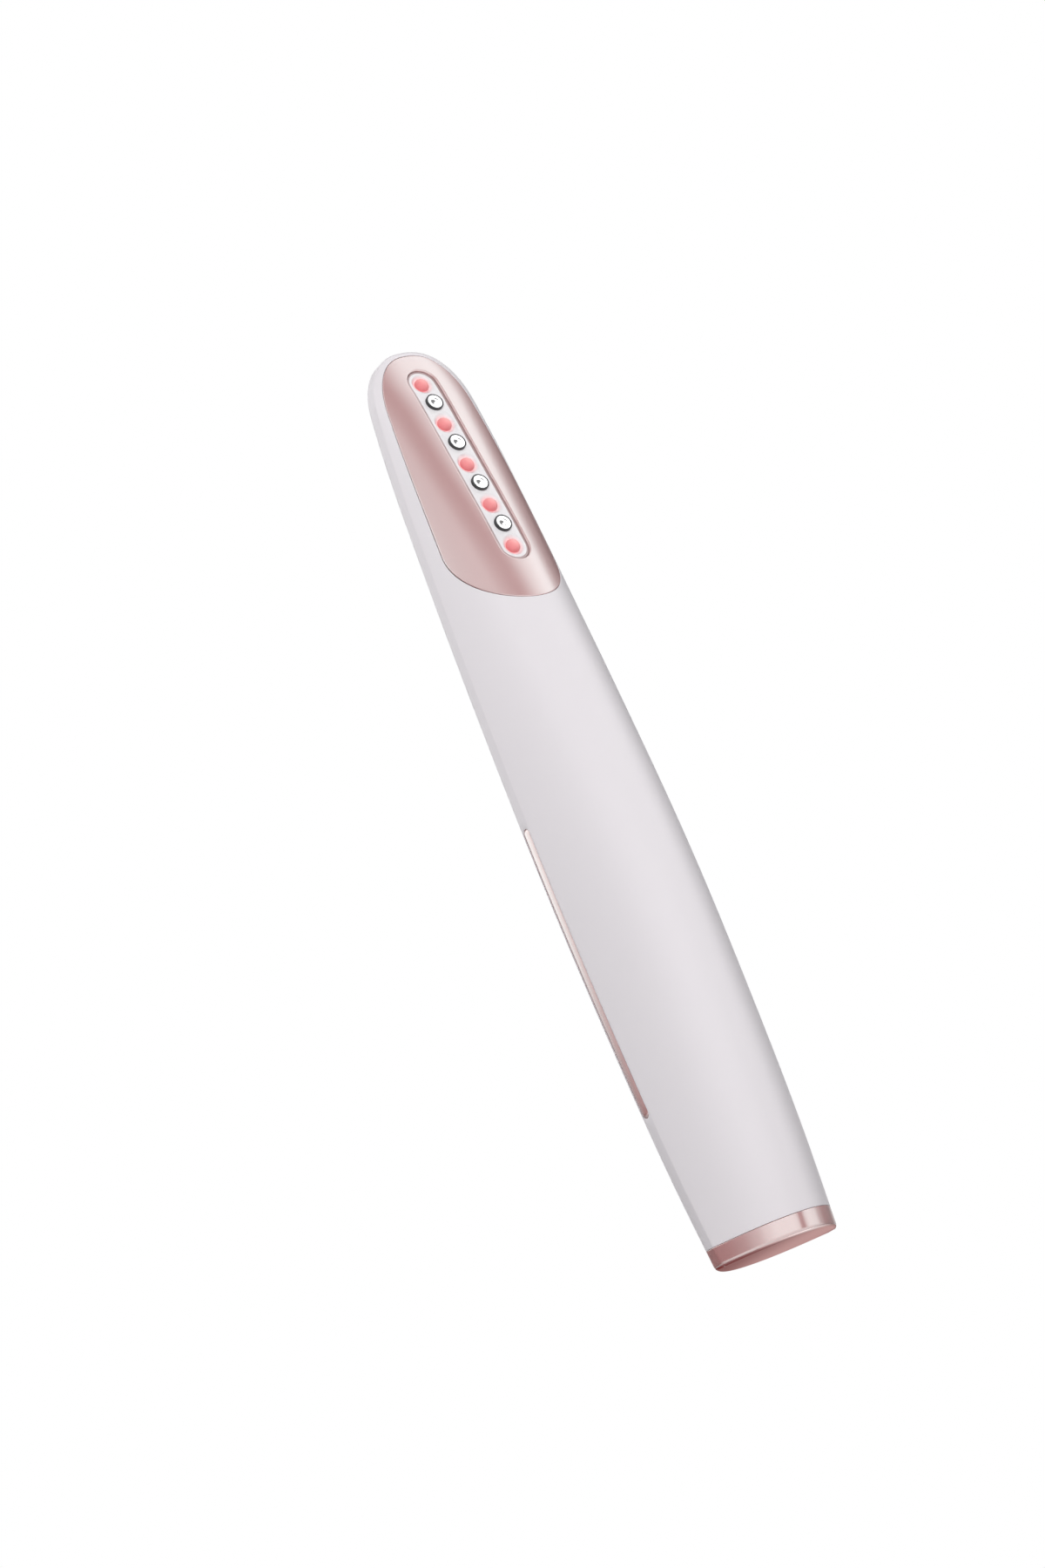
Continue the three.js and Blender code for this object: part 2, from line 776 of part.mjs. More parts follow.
// Key switch: a side-acting switch on the edge of the main board with a bore for its plunger.
function keySwitch(side) {
  const inner = boardHalf - switchDepth;
  const box = solidOf(
    block(
      [Math.min(side * inner, side * boardHalf), -switchHalf, keyMiddle - switchWidth / 2],
      [Math.max(side * inner, side * boardHalf), switchHalf, keyMiddle + switchWidth / 2],
    ),
  );
  const deepest = boardHalf - plungerSunk - keyTravel - gap;
  const bore = bar(plungerRadius + fineGap, deepest, boardHalf + overrun, smallSides);
  return box.subtract(solidOf(bore.rotateZ((-side * Math.PI) / 2).translate(0, 0, keyMiddle)));
}

// Switch plunger: the round pin that the stem of a key pushes.
function switchPlunger(side) {
  const pin = bar(plungerRadius, boardHalf - plungerSunk, plungerEnd, smallSides);
  return pin.rotateZ((-side * Math.PI) / 2).translate(0, 0, keyMiddle);
}

for (const [name, side] of [["left", -1], ["right", 1]]) {
  place(wand, `${name}_key`, geometryOf(sideKey(side)), roseGold());
  place(wand, `${name}_switch`, geometryOf(keySwitch(side)), chipBlack());
  place(wand, `${name}_plunger`, switchPlunger(side), innerPlastic());
}

// Motor axis, which runs along Z behind the chassis
const sleeveRadius = motorRadius + fineGap + sleeveWall;
const motorY = chassisRear + gap + sleeveRadius;
const sleeveBottom = motorBottom + sleeveUp;

// A round bar along Z on the motor axis.
function motorBar(radius, from, to, sides = turnSides) {
  return bar(radius, from, to, sides).rotateX(Math.PI / 2).translate(0, motorY, 0);
}

// Chassis: the moulded frame that carries the boards, the cell and the motor.
function chassis() {
  let frame = solidOf(
    block([-chassisHalf, chassisFront, chassisBottom], [chassisHalf, chassisRear, chassisTop]),
  );
  const slotLeft = Math.min(...batteryLeadPlaces) - leadRadius - slotMargin;
  const slotRight = ribbonPlace + ribbonWidth / 2 + slotMargin;
  const cut = block([slotLeft, chassisFront - overrun, slotLow], [slotRight, overrun, slotHigh]);
  frame = frame.subtract(solidOf(cut));
  const trayHalf = cellWidth / 2;
  const trayFront = chassisFront - trayHeight;
  for (const z of [cellBottom - gap - trayWall, cellTop + gap]) {
    const end = block([-trayHalf, trayFront, z], [trayHalf, chassisFront + fineGap, z + trayWall]);
    frame = frame.add(solidOf(end));
  }
  for (const { x, z } of boardScrewPlaces) {
    const post = bar(postRadius, chassisRear - fineGap, boardFront).translate(x, 0, z);
    const bore = bar(shankRadius + fineGap, chassisFront + boreWall, boardFront + overrun, smallSides);
    frame = frame.add(solidOf(post)).subtract(solidOf(bore.translate(x, 0, z)));
  }
  for (const { x, z } of chassisScrewPlaces) {
    const hole = bar(shankRadius + fineGap, chassisFront - overrun, chassisRear + overrun, smallSides);
    frame = frame.subtract(solidOf(hole.translate(x, 0, z)));
  }
  const inEnd = sleeveLength * saddleEndShare;
  const far = sleeveBottom + sleeveLength - inEnd - saddleThickness;
  for (const z of [sleeveBottom + inEnd, far]) {
    const half = sleeveRadius + saddleThickness / 2;
    const saddle = block([-half, chassisRear - fineGap, z], [half, motorY, z + saddleThickness]);
    frame = frame.add(solidOf(saddle));
  }
  return frame.subtract(solidOf(motorBar(sleeveRadius + fineGap, sleeveBottom, sleeveBottom + sleeveLength)));
}

// Main board with the holes of its two screws.
function mainBoard() {
  let board = solidOf(block([-boardHalf, boardFront, boardBottom], [boardHalf, boardRear, boardTop]));
  for (const { x, z } of boardScrewPlaces) {
    const hole = bar(shankRadius + fineGap, boardFront - overrun, boardRear + overrun, smallSides);
    board = board.subtract(solidOf(hole.translate(x, 0, z)));
  }
  return board;
}

// Screw along -Y, with a round drive recess in its head; its head rests at the height given.
function screw(seat, end) {
  return turned(
    [
      [0, end],
      [shankRadius, end],
      [shankRadius, seat],
      [headRadius, seat],
      [headRadius, seat + headHeight],
      [driveRadius, seat + headHeight],
      [driveRadius, seat + headHeight - driveDepth],
      [0, seat + headHeight - driveDepth],
    ],
    smallSides,
  );
}

// A chip on the rear face of the main board, at a distance above the upper spring pin.
const pinTop = studMiddle + studPitch / 2;
function rearChip(size, height, up) {
  const low = pinTop + up - size / 2;
  return block([-size / 2, boardRear, low], [size / 2, boardRear + height, low + size]);
}

place(wand, "chassis", geometryOf(chassis()), innerPlastic());
place(wand, "main_board", geometryOf(mainBoard()), boardGreen());
chassisScrewPlaces.forEach(({ x, z }, i) => {
  const made = screw(chassisRear, chassisRear - chassisScrewLength);
  place(wand, `chassis_screw_${i + 1}`, made, steel()).position.set(x, 0, z);
});
boardScrewPlaces.forEach(({ x, z }, i) => {
  const made = screw(boardRear, chassisFront + boreWall + gap);
  place(wand, `board_screw_${i + 1}`, made, steel()).position.set(x, 0, z);
});
place(wand, "microcontroller", rearChip(controllerSize, controllerHeight, controllerUp), chipBlack());
place(wand, "charge_chip", rearChip(chargeChipSize, chargeChipHeight, chargeChipUp), chipBlack());
const coil = bar(coilRadius, boardRear, boardRear + coilHeight).translate(0, 0, pinTop + coilUp);
place(wand, "voltage_coil", coil, ferrite());

// Cell: a flat pouch with rounded long edges, on its foam pad.
function cell() {
  const half = cellWidth / 2;
  const shape = new THREE.Shape();
  const corner = (x, y, from) => shape.absarc(x, y, cellCorner, from, from + Math.PI / 2);
  corner(half - cellCorner, foamFront - cellCorner, 0);
  corner(-half + cellCorner, foamFront - cellCorner, Math.PI / 2);
  corner(-half + cellCorner, cellFront + cellCorner, Math.PI);
  corner(half - cellCorner, cellFront + cellCorner, (Math.PI * 3) / 2);
  const options = { depth: cellLength, bevelEnabled: false, curveSegments: smallSides / 2 };
  return new THREE.ExtrudeGeometry(shape, options).translate(0, 0, cellBottom);
}

// Foam pad between the cell and the chassis.
function foamPad() {
  const half = cellWidth / 2 - foamMargin;
  const low = cellBottom + foamMargin;
  return block([-half, foamFront, low], [half, chassisFront, cellTop - foamMargin]);
}

place(wand, "lithium_cell", cell(), cellFoil());
place(wand, "foam_pad", foamPad(), foamGrey());

// Motor can with a bore for its shaft, the rubber sleeve, the shaft and the half-round weight.
function motorCan() {
  const can = solidOf(motorBar(motorRadius, motorBottom, motorTop));
  const bore = motorBar(shaftRadius + fineGap, motorTop - shaftSunk - gap, motorTop + overrun, smallSides);
  return can.subtract(solidOf(bore));
}
function motorSleeve() {
  const top = sleeveBottom + sleeveLength;
  const outer = solidOf(motorBar(sleeveRadius, sleeveBottom, top));
  const inner = motorBar(motorRadius + fineGap, sleeveBottom - overrun, top + overrun);
  return outer.subtract(solidOf(inner));
}
function motorWeight() {
  const low = motorTop + weightUp;
  const high = low + weightLength;
  const disc = solidOf(motorBar(weightRadius, low, high));
  const half = solidOf(
    block([-weightRadius - overrun, motorY, low - overrun], [weightRadius + overrun, length, high + overrun]),
  );
  const hub = solidOf(motorBar(weightHub, low, high, smallSides));
  const bore = solidOf(motorBar(shaftRadius + fineGap, low - overrun, high + overrun, smallSides));
  return disc.intersect(half).add(hub).subtract(bore);
}

place(wand, "motor_can", geometryOf(motorCan()), steel());
place(wand, "motor_sleeve", geometryOf(motorSleeve()), darkRubber());
const shaft = motorBar(shaftRadius, motorTop - shaftSunk, motorTop + shaftReach, smallSides);
place(wand, "motor_shaft", shaft, steel());
place(wand, "motor_weight", geometryOf(motorWeight()), gunmetal());

// Charging stud: a flat-topped pin with a flange inside the wall.
function chargeStud() {
  const back = flangeFront - studFlangeThickness;
  return turned([
    [0, back],
    [studFlange, back],
    [studFlange, flangeFront],
    [studRadius, flangeFront],
    [studRadius, studProud],
    [0, studProud],
  ]);
}

// Bezel: the shallow dished ring round a stud.
function chargeBezel() {
  const bore = studRadius + fineGap;
  return turned([
    [bore, -bezelDepth],
    [bezelRadius, -bezelDepth],
    [bezelRadius, 0],
    [bore, -bezelDepth / 2],
    [bore, -bezelDepth],
  ]);
}

// Stud carrier: a plate on two posts with holes for the spring pins and a seat for the magnet.
function studCarrier() {
  const rear = carrierFront - carrierThickness;
  const reach = studPitch / 2 + carrierEnd;
  let plate = solidOf(block([-carrierHalf, rear, -reach], [carrierHalf, carrierFront, reach]));
  const cut = (radius, from, z) => {
    plate = plate.subtract(solidOf(bar(radius, from, carrierFront + overrun, smallSides).translate(0, 0, z)));
  };
  studPlaces.forEach((z) => cut(springRadius + gap, rear - overrun, z));
  [-postPlace, postPlace].forEach((z) => cut(carrierPost + fineGap, rear - overrun, z));
  cut(magnetRadius + fineGap, carrierFront - magnetSunk - fineGap, 0);
  return plate;
}

// Magnet that draws the charging lead to the studs.
function chargeMagnet() {
  return bar(magnetRadius, carrierFront - magnetSunk, carrierFront - magnetSunk + magnetThickness);
}

// Spring pin from the main board to the back of a stud.
function springPin(z) {
  const stud = new THREE.Vector3(0, flangeFront - studFlangeThickness, z).applyMatrix4(charge.matrix);
  const end = stud.y - gap;
  const pin = turned(
    [
      [0, boardRear],
      [springRadius, boardRear],
      [springRadius, boardRear + springBarrel],
      [springTip, boardRear + springBarrel],
      [springTip, end],
      [0, end],
    ],
    smallSides,
  );
  return pin.translate(0, 0, stud.z);
}

studPlaces.forEach((z, i) => {
  place(charge, `charge_stud_${i + 1}`, chargeStud(), gunmetal()).position.z = z;
  place(charge, `charge_bezel_${i + 1}`, chargeBezel(), paleRing()).position.z = z;
  place(wand, `spring_pin_${i + 1}`, springPin(z), springBrass());
});
place(charge, "stud_carrier", geometryOf(studCarrier()), innerPlastic());
place(charge, "charge_magnet", chargeMagnet(), steel());

// A lead along a smooth curve through its points.
function lead(points) {
  const section = new THREE.Shape().absarc(0, 0, leadRadius, 0, 2 * Math.PI);
  const extrudePath = new THREE.CatmullRomCurve3(points.map((point) => new THREE.Vector3(...point)));
  const curveSegments = leadSides / 2;
  return new THREE.ExtrudeGeometry(section, { steps: leadSteps, curveSegments, extrudePath });
}

// The leads of the cell rise from its upper end and turn through the slot to the main board.
const slotMiddle = (slotLow + slotHigh) / 2;
batteryLeadPlaces.forEach((x, i) => {
  const made = lead([
    [x, chassisFront - leadDrop + leadTurn, cellTop + gap],
    [x, chassisFront - leadDrop + leadTurn, cellTop + leadReach],
    [x, chassisFront - leadTurn, slotMiddle - leadTurn],
    [x, chassisRear, slotMiddle],
    [x, boardFront - gap, slotMiddle],
  ]);
  place(wand, ["battery_lead_red", "battery_lead_black"][i], made, i ? leadBlack() : leadRed());
});

// The leads of the motor drop from its lower end to the rear face of the main board.
motorLeadPlaces.forEach((x, i) => {
  const made = lead([
    [x, motorY, motorBottom - gap],
    [x, motorY + leadTurn / 2, motorBottom - leadReach],
    [x, motorY + leadTurn / 2, boardTop],
    [x, boardRear + gap * 2, boardTop - leadReach],
  ]);
  place(wand, ["motor_lead_red", "motor_lead_black"][i], made, i ? leadBlack() : leadRed());
});

// Ribbon: a flat strip from the lower end of the light board, in front of the chassis, to the main board.
function ribbon() {
  const from = new THREE.Vector3(0, lightBoardRear - gap, ribbonDown - lightBoardReach);
  from.applyMatrix4(head.matrix);
  const front = chassisFront - ribbonDown;
  const lowBend = slotHigh + leadReach;
  const highBend = THREE.MathUtils.lerp(lowBend, from.z, ribbonBendShare);
  const route = new THREE.SplineCurve([
    new THREE.Vector2(from.y, from.z),
    new THREE.Vector2(front, highBend),
    new THREE.Vector2(front, lowBend),
    new THREE.Vector2(chassisFront, slotMiddle + leadTurn),
    new THREE.Vector2(boardFront - gap, slotMiddle),
  ]);
  const left = [];
  const right = [];
  for (let step = 0; step <= ribbonSteps; step++) {
    const point = route.getPointAt(step / ribbonSteps);
    const along = route.getTangentAt(step / ribbonSteps);
    const across = new THREE.Vector2(-along.y, along.x).multiplyScalar(ribbonThickness / 2);
    left.push(point.clone().add(across));
    right.push(point.clone().sub(across));
  }
  const shape = new THREE.Shape([...left, ...right.reverse()]);
  return alongX(shape, ribbonPlace - ribbonWidth / 2, ribbonPlace + ribbonWidth / 2);
}
place(wand, "ribbon_cable", ribbon(), ribbonWhite());

export default wand;
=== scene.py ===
import math

import bmesh
import bpy
from mathutils import Matrix, Vector


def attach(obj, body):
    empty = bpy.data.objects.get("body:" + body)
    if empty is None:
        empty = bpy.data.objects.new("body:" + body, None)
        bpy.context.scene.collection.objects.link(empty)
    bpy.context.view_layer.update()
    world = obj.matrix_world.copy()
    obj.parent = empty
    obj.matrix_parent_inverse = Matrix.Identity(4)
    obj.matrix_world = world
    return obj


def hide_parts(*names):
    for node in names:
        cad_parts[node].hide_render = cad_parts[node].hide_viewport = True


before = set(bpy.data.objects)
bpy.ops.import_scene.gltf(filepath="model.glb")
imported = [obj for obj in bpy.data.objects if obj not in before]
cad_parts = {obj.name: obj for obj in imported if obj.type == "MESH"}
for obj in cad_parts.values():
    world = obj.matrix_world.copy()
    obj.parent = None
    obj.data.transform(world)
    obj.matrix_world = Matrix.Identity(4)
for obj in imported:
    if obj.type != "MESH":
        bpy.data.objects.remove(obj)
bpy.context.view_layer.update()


# Camera
# The wand is seen from its front and left, from a little below its foot, with a lens of about ninety
# millimetres. The camera's place and turn were solved from the wand's outline and its row of lights.
def stand(place, right, up):
    """The frame that stands at a place, with its X to the right and its Y upwards."""
    return Matrix.Translation(place) @ Matrix((right, up, right.cross(up))).transposed().to_4x4()


camera_place = Vector((-0.381046, -0.512310, -0.061602))
camera_right = Vector((0.79983, -0.46814, -0.37565))
camera_up = Vector((0.18901, -0.39756, 0.89790))
camera_data = bpy.data.cameras.new("camera")
camera_data.sensor_fit = "VERTICAL"
camera_data.sensor_height = 36
camera_data.lens = 88.93
camera_data.clip_start = 0.01
camera = bpy.data.objects.new("camera", camera_data)
camera.matrix_world = stand(camera_place, camera_right, camera_up)
bpy.context.scene.collection.objects.link(camera)
bpy.context.scene.camera = camera


# Room
# A white studio: soft lamps in front and behind, a pale floor that is clear from below, and a room of
# light and dark panels that only bright surfaces mirror. The camera sees plain white.
class Value:
    """A value in a shader: the usual operators make math nodes of it."""

    def __init__(self, finish, source):
        self.finish = finish
        self.source = source

    def math(self, operation, *others):
        return self.finish.node("ShaderNodeMath", {"operation": operation}, [self, *others])

    def __add__(self, other):
        return self.math("ADD", other)

    def __radd__(self, other):
        return self.math("ADD", other)

    def __sub__(self, other):
        return self.math("SUBTRACT", other)

    def __rsub__(self, other):
        return self.math("MULTIPLY", -1).math("ADD", other)

    def __mul__(self, other):
        return self.math("MULTIPLY", other)

    def __rmul__(self, other):
        return self.math("MULTIPLY", other)

    def __truediv__(self, other):
        return self.math("DIVIDE", other)


class Finish:
    """A material, or the room's light, and the nodes that it is made of."""

    def __init__(self, name, target=None):
        self.owner = target or bpy.data.materials.new(name)
        self.owner.use_nodes = True
        self.tree = self.owner.node_tree
        self.shader = self.tree.nodes.get("Principled BSDF")

    def node(self, kind, settings, inputs, output=0):
        """One output of a new node, whose settings are made before its inputs are fed."""
        made = self.tree.nodes.new(kind)
        for key, value in settings.items():
            if key == "stops":
                self.set_stops(made.color_ramp, value)
            else:
                setattr(made, key, value)
        given = inputs.items() if isinstance(inputs, dict) else enumerate(inputs)
        for key, value in given:
            self.feed(made.inputs[key], value)
        return Value(self, made.outputs[output])

    def set_stops(self, ramp, stops):
        ramp.interpolation = "EASE"
        ramp.elements.remove(ramp.elements[1])
        for number, (place, tone) in enumerate(stops):
            stop = ramp.elements.new(place) if number else ramp.elements[0]
            stop.position = place
            stop.color = (tone, tone, tone, 1)

    def feed(self, socket, value):
        if isinstance(value, Value):
            self.tree.links.new(value.source, socket)
        else:
            socket.default_value = value

    def shade(self, **inputs):
        for key, value in inputs.items():
            self.feed(self.shader.inputs[key.replace("_", " ")], value)

    def ray(self, kind):
        """One for rays of a kind, and zero for all others."""
        return self.node("ShaderNodeLightPath", {}, [], f"Is {kind} Ray")

    def place(self):
        return self.node("ShaderNodeTexCoord", {}, [], "Object")

    def axis(self, vector, name):
        return self.node("ShaderNodeSeparateXYZ", {}, [vector], name)

    def blend(self, share, first, second):
        """A colour between the first and the second."""
        return self.node("ShaderNodeMix", {"data_type": "RGBA"}, {0: share, 6: first, 7: second}, 2)

    def spread(self, value, low, high):
        """A smooth step from zero where the value is low to one where it is high."""
        return self.node("ShaderNodeMapRange", {"interpolation_type": "SMOOTHSTEP"}, [value, low, high])

    def from_nearest(self, centres):
        """The distance to the nearest of some places."""
        here = self.place()
        near = None
        for centre in centres:
            far = self.node("ShaderNodeVectorMath", {"operation": "DISTANCE"}, [here, centre], "Value")
            near = far if near is None else near.math("MINIMUM", far)
        return near

    def grain(self, scale, detail=2.0):
        inputs = {"Vector": self.place(), "Scale": scale, "Detail": detail}
        return self.node("ShaderNodeTexNoise", {}, inputs)

    def vary(self, middle, reach, scale):
        """A number that wanders a little over the surface."""
        return middle + reach * (self.grain(scale) - 0.5)

    def mottle(self, scale, first, second, detail=2.0):
        """A colour that wanders between the first and the second."""
        return self.blend(self.grain(scale, detail), first, second)

    def relief(self, height, depth, strength):
        return self.node("ShaderNodeBump", {}, {"Height": height, "Distance": depth, "Strength": strength})

    def bumps(self, scale, depth, strength, detail=2.0):
        """The fine roughness of a moulded, plated or ground surface."""
        return self.relief(self.grain(scale, detail), depth, strength)


# What bright surfaces mirror: a brightness for each direction round the wand, in degrees from the front
# towards the right, for the upper part of the room and for its lower part.
brightest = 3.0
upper_room = (
    (-180, 1.6), (-145, 3.0), (-112, 2.8), (-80, 2.3), (-60, 1.4), (-54, 1.3), (-38, 1.1),
    (-26, 0.6), (-14, 0.3), (0, 0.25), (10, 0.55), (22, 1.2), (34, 1.9), (48, 2.6),
    (60, 2.9), (71, 2.6), (83, 1.2), (97, 0.45), (122, 0.1), (145, 0.8), (180, 1.2),
)
lower_room = (
    (-180, 0.6), (-145, 0.1), (-100, 0.05), (-70, 0.15), (-60, 0.45), (-45, 1.2), (-32, 2.1),
    (-18, 2.7), (14, 2.75), (25, 2.4), (30, 0.3), (36, 0.3), (41, 2.2), (48, 2.7),
    (66, 2.4), (82, 0.9), (95, 0.4), (118, 0.35), (144, 1.15), (180, 0.6),
)
# The room changes with how high and how far behind the wand a direction points: it has an upper part, a
# pale floor under the front and a darker pit under the rear.
high_from, high_to = 0.11, 0.19
front_from, front_to = 0.2, -0.4
under_from, under_to = -0.11, -0.2
under_tone = 1.9
pit_from, pit_to = -0.26, -0.4
pit_tone = 0.8
ambient = (0.25, 0.25, 0.256, 1)
white = (1, 1, 1, 1)
black = (0, 0, 0, 1)
world = bpy.data.worlds.new("surround")
bpy.context.scene.world = world
surround = Finish("surround", world)
way = surround.node("ShaderNodeTexCoord", {}, [], "Generated")
right, behind, rise = [surround.axis(way, name) for name in "XYZ"]
bearing = right.math("ARCTAN2", -1 * behind) / (2 * math.pi) + 0.5


def room_tone(stops):
    placed = [(0.5 + degrees / 360, tone / brightest) for degrees, tone in stops]
    return surround.node("ShaderNodeValToRGB", {"stops": placed}, [bearing]) * brightest


high_share = surround.spread(rise, high_from, high_to)
front_share = surround.spread(behind, front_from, front_to)
under_share = surround.spread(rise, under_from, under_to) * front_share
pit_share = surround.spread(rise, pit_from, pit_to) * (1 - front_share)
mirror_tone = room_tone(lower_room) * (1 - high_share) + room_tone(upper_room) * high_share
mirror_tone = mirror_tone * (1 - under_share) + under_tone * under_share
mirror_tone = mirror_tone * (1 - pit_share) + pit_tone * pit_share
room_light = surround.blend(surround.ray("Glossy"), ambient, mirror_tone)
background = surround.tree.nodes["Background"]
surround.feed(background.inputs["Color"], surround.blend(surround.ray("Camera"), room_light, white))
background.inputs["Strength"].default_value = 1.0

lamp_aim = Vector((0, 0, 0.08))


def lamp(name, place, width, height, power):
    """A soft lamp that shines on the middle of the wand; bright surfaces don't mirror it."""
    data = bpy.data.lights.new(name, "AREA")
    data.shape = "RECTANGLE"
    data.size = width
    data.size_y = height
    data.energy = power
    made = bpy.data.objects.new(name, data)
    made.location = place
    made.rotation_mode = "QUATERNION"
    made.rotation_quaternion = (lamp_aim - Vector(place)).to_track_quat("-Z", "Y")
    made.visible_glossy = False
    bpy.context.scene.collection.objects.link(made)


lamp("front_lamp", (-0.31, -0.90, 0.28), 0.6, 0.7, 8.1)
lamp("rear_lamp", (-0.38, 0.88, 0.40), 0.7, 0.7, 4.8)
lamp("right_lamp", (0.50, 0.80, 0.36), 0.7, 0.7, 3.6)

# Front shell
# The long moulded front half of the housing, of satin lavender-white plastic. It has a crowned front, the
# narrow side facets with a slot for each key, and the seat of the head plate; it meets the rear half along
# the rear edge of the facets.
length = 168.0
half_width = 14.6
front_depth = 14.0
rear_depth = 11.6
facet = 1.1
tip_rounding = 11.2
tip_power = 2.4
tip_roll = 12.0
crown_power = 2.1
head_power = 2.9
head_from, head_to = 112.0, 158.0
stations = (0, 0.1, 0.2, 0.4, 0.6, 0.75, 0.88, 1)
width_shares = (0.849, 0.932, 0.974, 0.998, 0.945, 0.87, 0.773, 0.609)
front_shares = (0.685, 0.826, 0.919, 0.998, 0.866, 0.678, 0.411, 0.16)
rear_shares = (0.813, 0.936, 0.993, 0.996, 0.947, 0.838, 0.716, 0.569)
to_metres = 0.001
weld = 0.0008
narrowest = 0.001
tiny = 1e-6


def curve(shares):
    """A smooth curve through the shares of the stations."""
    runs = [b - a for a, b in zip(stations, stations[1:])]
    rises = [(b - a) / run for a, b, run in zip(shares, shares[1:], runs)]
    slopes = [rises[0], *[(a + b) / 2 for a, b in zip(rises, rises[1:])], rises[-1]]

    def read(share):
        share = min(max(share, 0.0), 1.0)
        at = max(i for i in range(len(runs)) if share >= stations[i])
        t = (share - stations[at]) / runs[at]
        start, end = shares[at], shares[at + 1]
        arrive, leave = slopes[at] * runs[at], slopes[at + 1] * runs[at]
        near = (2 * t**3 - 3 * t**2 + 1) * start + (t**3 - 2 * t**2 + t) * arrive
        return near + (3 * t**2 - 2 * t**3) * end + (t**3 - t**2) * leave

    return read


width_curve = curve(width_shares)
front_curve = curve(front_shares)
rear_curve = curve(rear_shares)


def ease(value, low, high):
    """How far a value has come from low to high, from 0 to 1 with a soft start and end."""
    share = min(max((value - low) / (high - low), 0.0), 1.0)
    return share * share * (3 - 2 * share)


def into_tip(z, rounding):
    """How far a height lies in the rounding of the tip, from 0 to 1."""
    return min(max((z - (length - rounding)) / rounding, 0.0), 1.0)


def half_at(z):
    """Half the width of the wand at a height."""
    outline = (1 - into_tip(z, tip_rounding) ** tip_power) ** (1 / tip_power)
    return half_width * width_curve(z / length) * outline


def depth_at(z, side):
    """How far the front (-1) or rear (1) centre line lies from the middle plane."""
    roll = math.sqrt(1 - into_tip(z, tip_roll) ** 2)
    whole = front_depth * front_curve(z / length) if side < 0 else rear_depth * rear_curve(z / length)
    return facet + (whole - facet) * roll


def power_at(z, side):
    """How square the crown is: the front of the head is a little fuller."""
    return crown_power + (head_power - crown_power) * (ease(z, head_from, head_to) if side < 0 else 0.0)


def skin(x, z, side):
    """The outer surface at a place that is seen from the front (-1) or the rear (1)."""
    half = half_at(z)
    share = min(abs(x) / half, 1.0) if half > narrowest else 1.0
    depth = facet + (depth_at(z, side) - facet) * (1 - share ** power_at(z, side))
    return Vector((x, side * depth, z))


def skin_normal(x, z, side):
    """The outward direction of the outer surface at a place."""
    step = 0.02
    inner = max(abs(x) - step, 0.0)
    low = min(z, length - 3 * step) - step
    across = skin(inner + step, low, side) - skin(inner, low, side)
    along = skin(inner, low + step, side) - skin(inner, low, side)
    normal = across.cross(along).normalized()
    if abs(x) < tiny:
        normal.x = 0
        normal.normalize()
    return normal if normal.y * side > 0 else -normal


def outline_normal(z):
    """The outward direction of the side facet, in X and Z."""
    if z > length - tiny:
        return Vector((0, 0, 1))
    step = 0.01
    slope = (half_at(z) - half_at(z - step)) / step
    return Vector((1, 0, -slope)).normalized()


def sheet(rows, name, mirror=True):
    """A piece through rows of places, given for the right half and mirrored."""
    shape = bmesh.new()
    last_row, last_place = len(rows) - 1, len(rows[0]) - 1
    bmesh.ops.create_grid(shape, x_segments=last_place, y_segments=last_row, size=0.5)
    for vert in shape.verts:
        across = round((vert.co.x + 0.5) * last_place)
        up = round((vert.co.y + 0.5) * last_row)
        vert.co = rows[up][across]
    bmesh.ops.remove_doubles(shape, verts=shape.verts, dist=weld)
    if mirror:
        geometry = shape.verts[:] + shape.edges[:] + shape.faces[:]
        bmesh.ops.mirror(shape, geom=geometry, axis="X", merge_dist=weld)
        flat = [face for face in shape.faces if all(abs(vert.co.x) < weld for vert in face.verts)]
        bmesh.ops.delete(shape, geom=flat, context="FACES")
    return settle(shape, name, sharp_from=40)


def settle(shape, name, sharp_from):
    """Makes a finished object of a shape: its faces outwards, in metres and smooth up to an angle."""
    bmesh.ops.recalc_face_normals(shape, faces=shape.faces)
    bmesh.ops.scale(shape, vec=(to_metres, to_metres, to_metres), verts=shape.verts)
    mesh = bpy.data.meshes.new(name)
    shape.to_mesh(mesh)
    shape.free()
    mesh.shade_smooth()
    mesh.set_sharp_from_angle(angle=math.radians(sharp_from))
    made = bpy.data.objects.new(name, mesh)
    bpy.context.scene.collection.objects.link(made)
    return made


across_steps = 20
corner_steps = 4
edge_steps = 3
seat_steps = 4
seat_places = seat_steps + 3
seam = 0.06
seam_edge = 0.05
parting = 1.0
parting_edge = 0.048
lip = 1.2
crease_arm = 0.3
longest_arm = 0.4
crease_drop = 0.1
plate_width = 0.87
plate_bottom = 52.1
plate_arch = 12.3
plate_rim = 0.95
arch_low = length - plate_bottom
arch_top = arch_low + plate_arch
seat_gap = 0.07
seat_depth = 0.95
seat_shelf = 1.0
seat_tip = 0.3
cap_height = 3.45
shell_low = cap_height + seam / 2
key_low, key_high = 27.1, 79.5
key_half = 0.85
slot_half = 0.93
slot_edge = 0.05
slot_floor = 1.6
spaced = [(1 - math.cos(math.pi * i / across_steps)) / 2 for i in range(across_steps + 1)]


def quarter(steps):
    """The angles of a quarter turn."""
    return [math.pi / 2 * i / steps for i in range(steps + 1)]


def bend(start, corner, end):
    """A rounded corner from start to end."""
    places = []
    for i in range(corner_steps + 1):
        t = i / corner_steps
        places.append(start * (1 - t) ** 2 + corner * 2 * t * (1 - t) + end * t**2)
    return places


def walk(first, last, side, shares):
    """Places on the outer surface along a line that is straight as seen from the front."""
    run_x, run_z = last[0] - first[0], last[1] - first[1]
    return [skin(first[0] + run_x * share, first[1] + run_z * share, side) for share in shares]


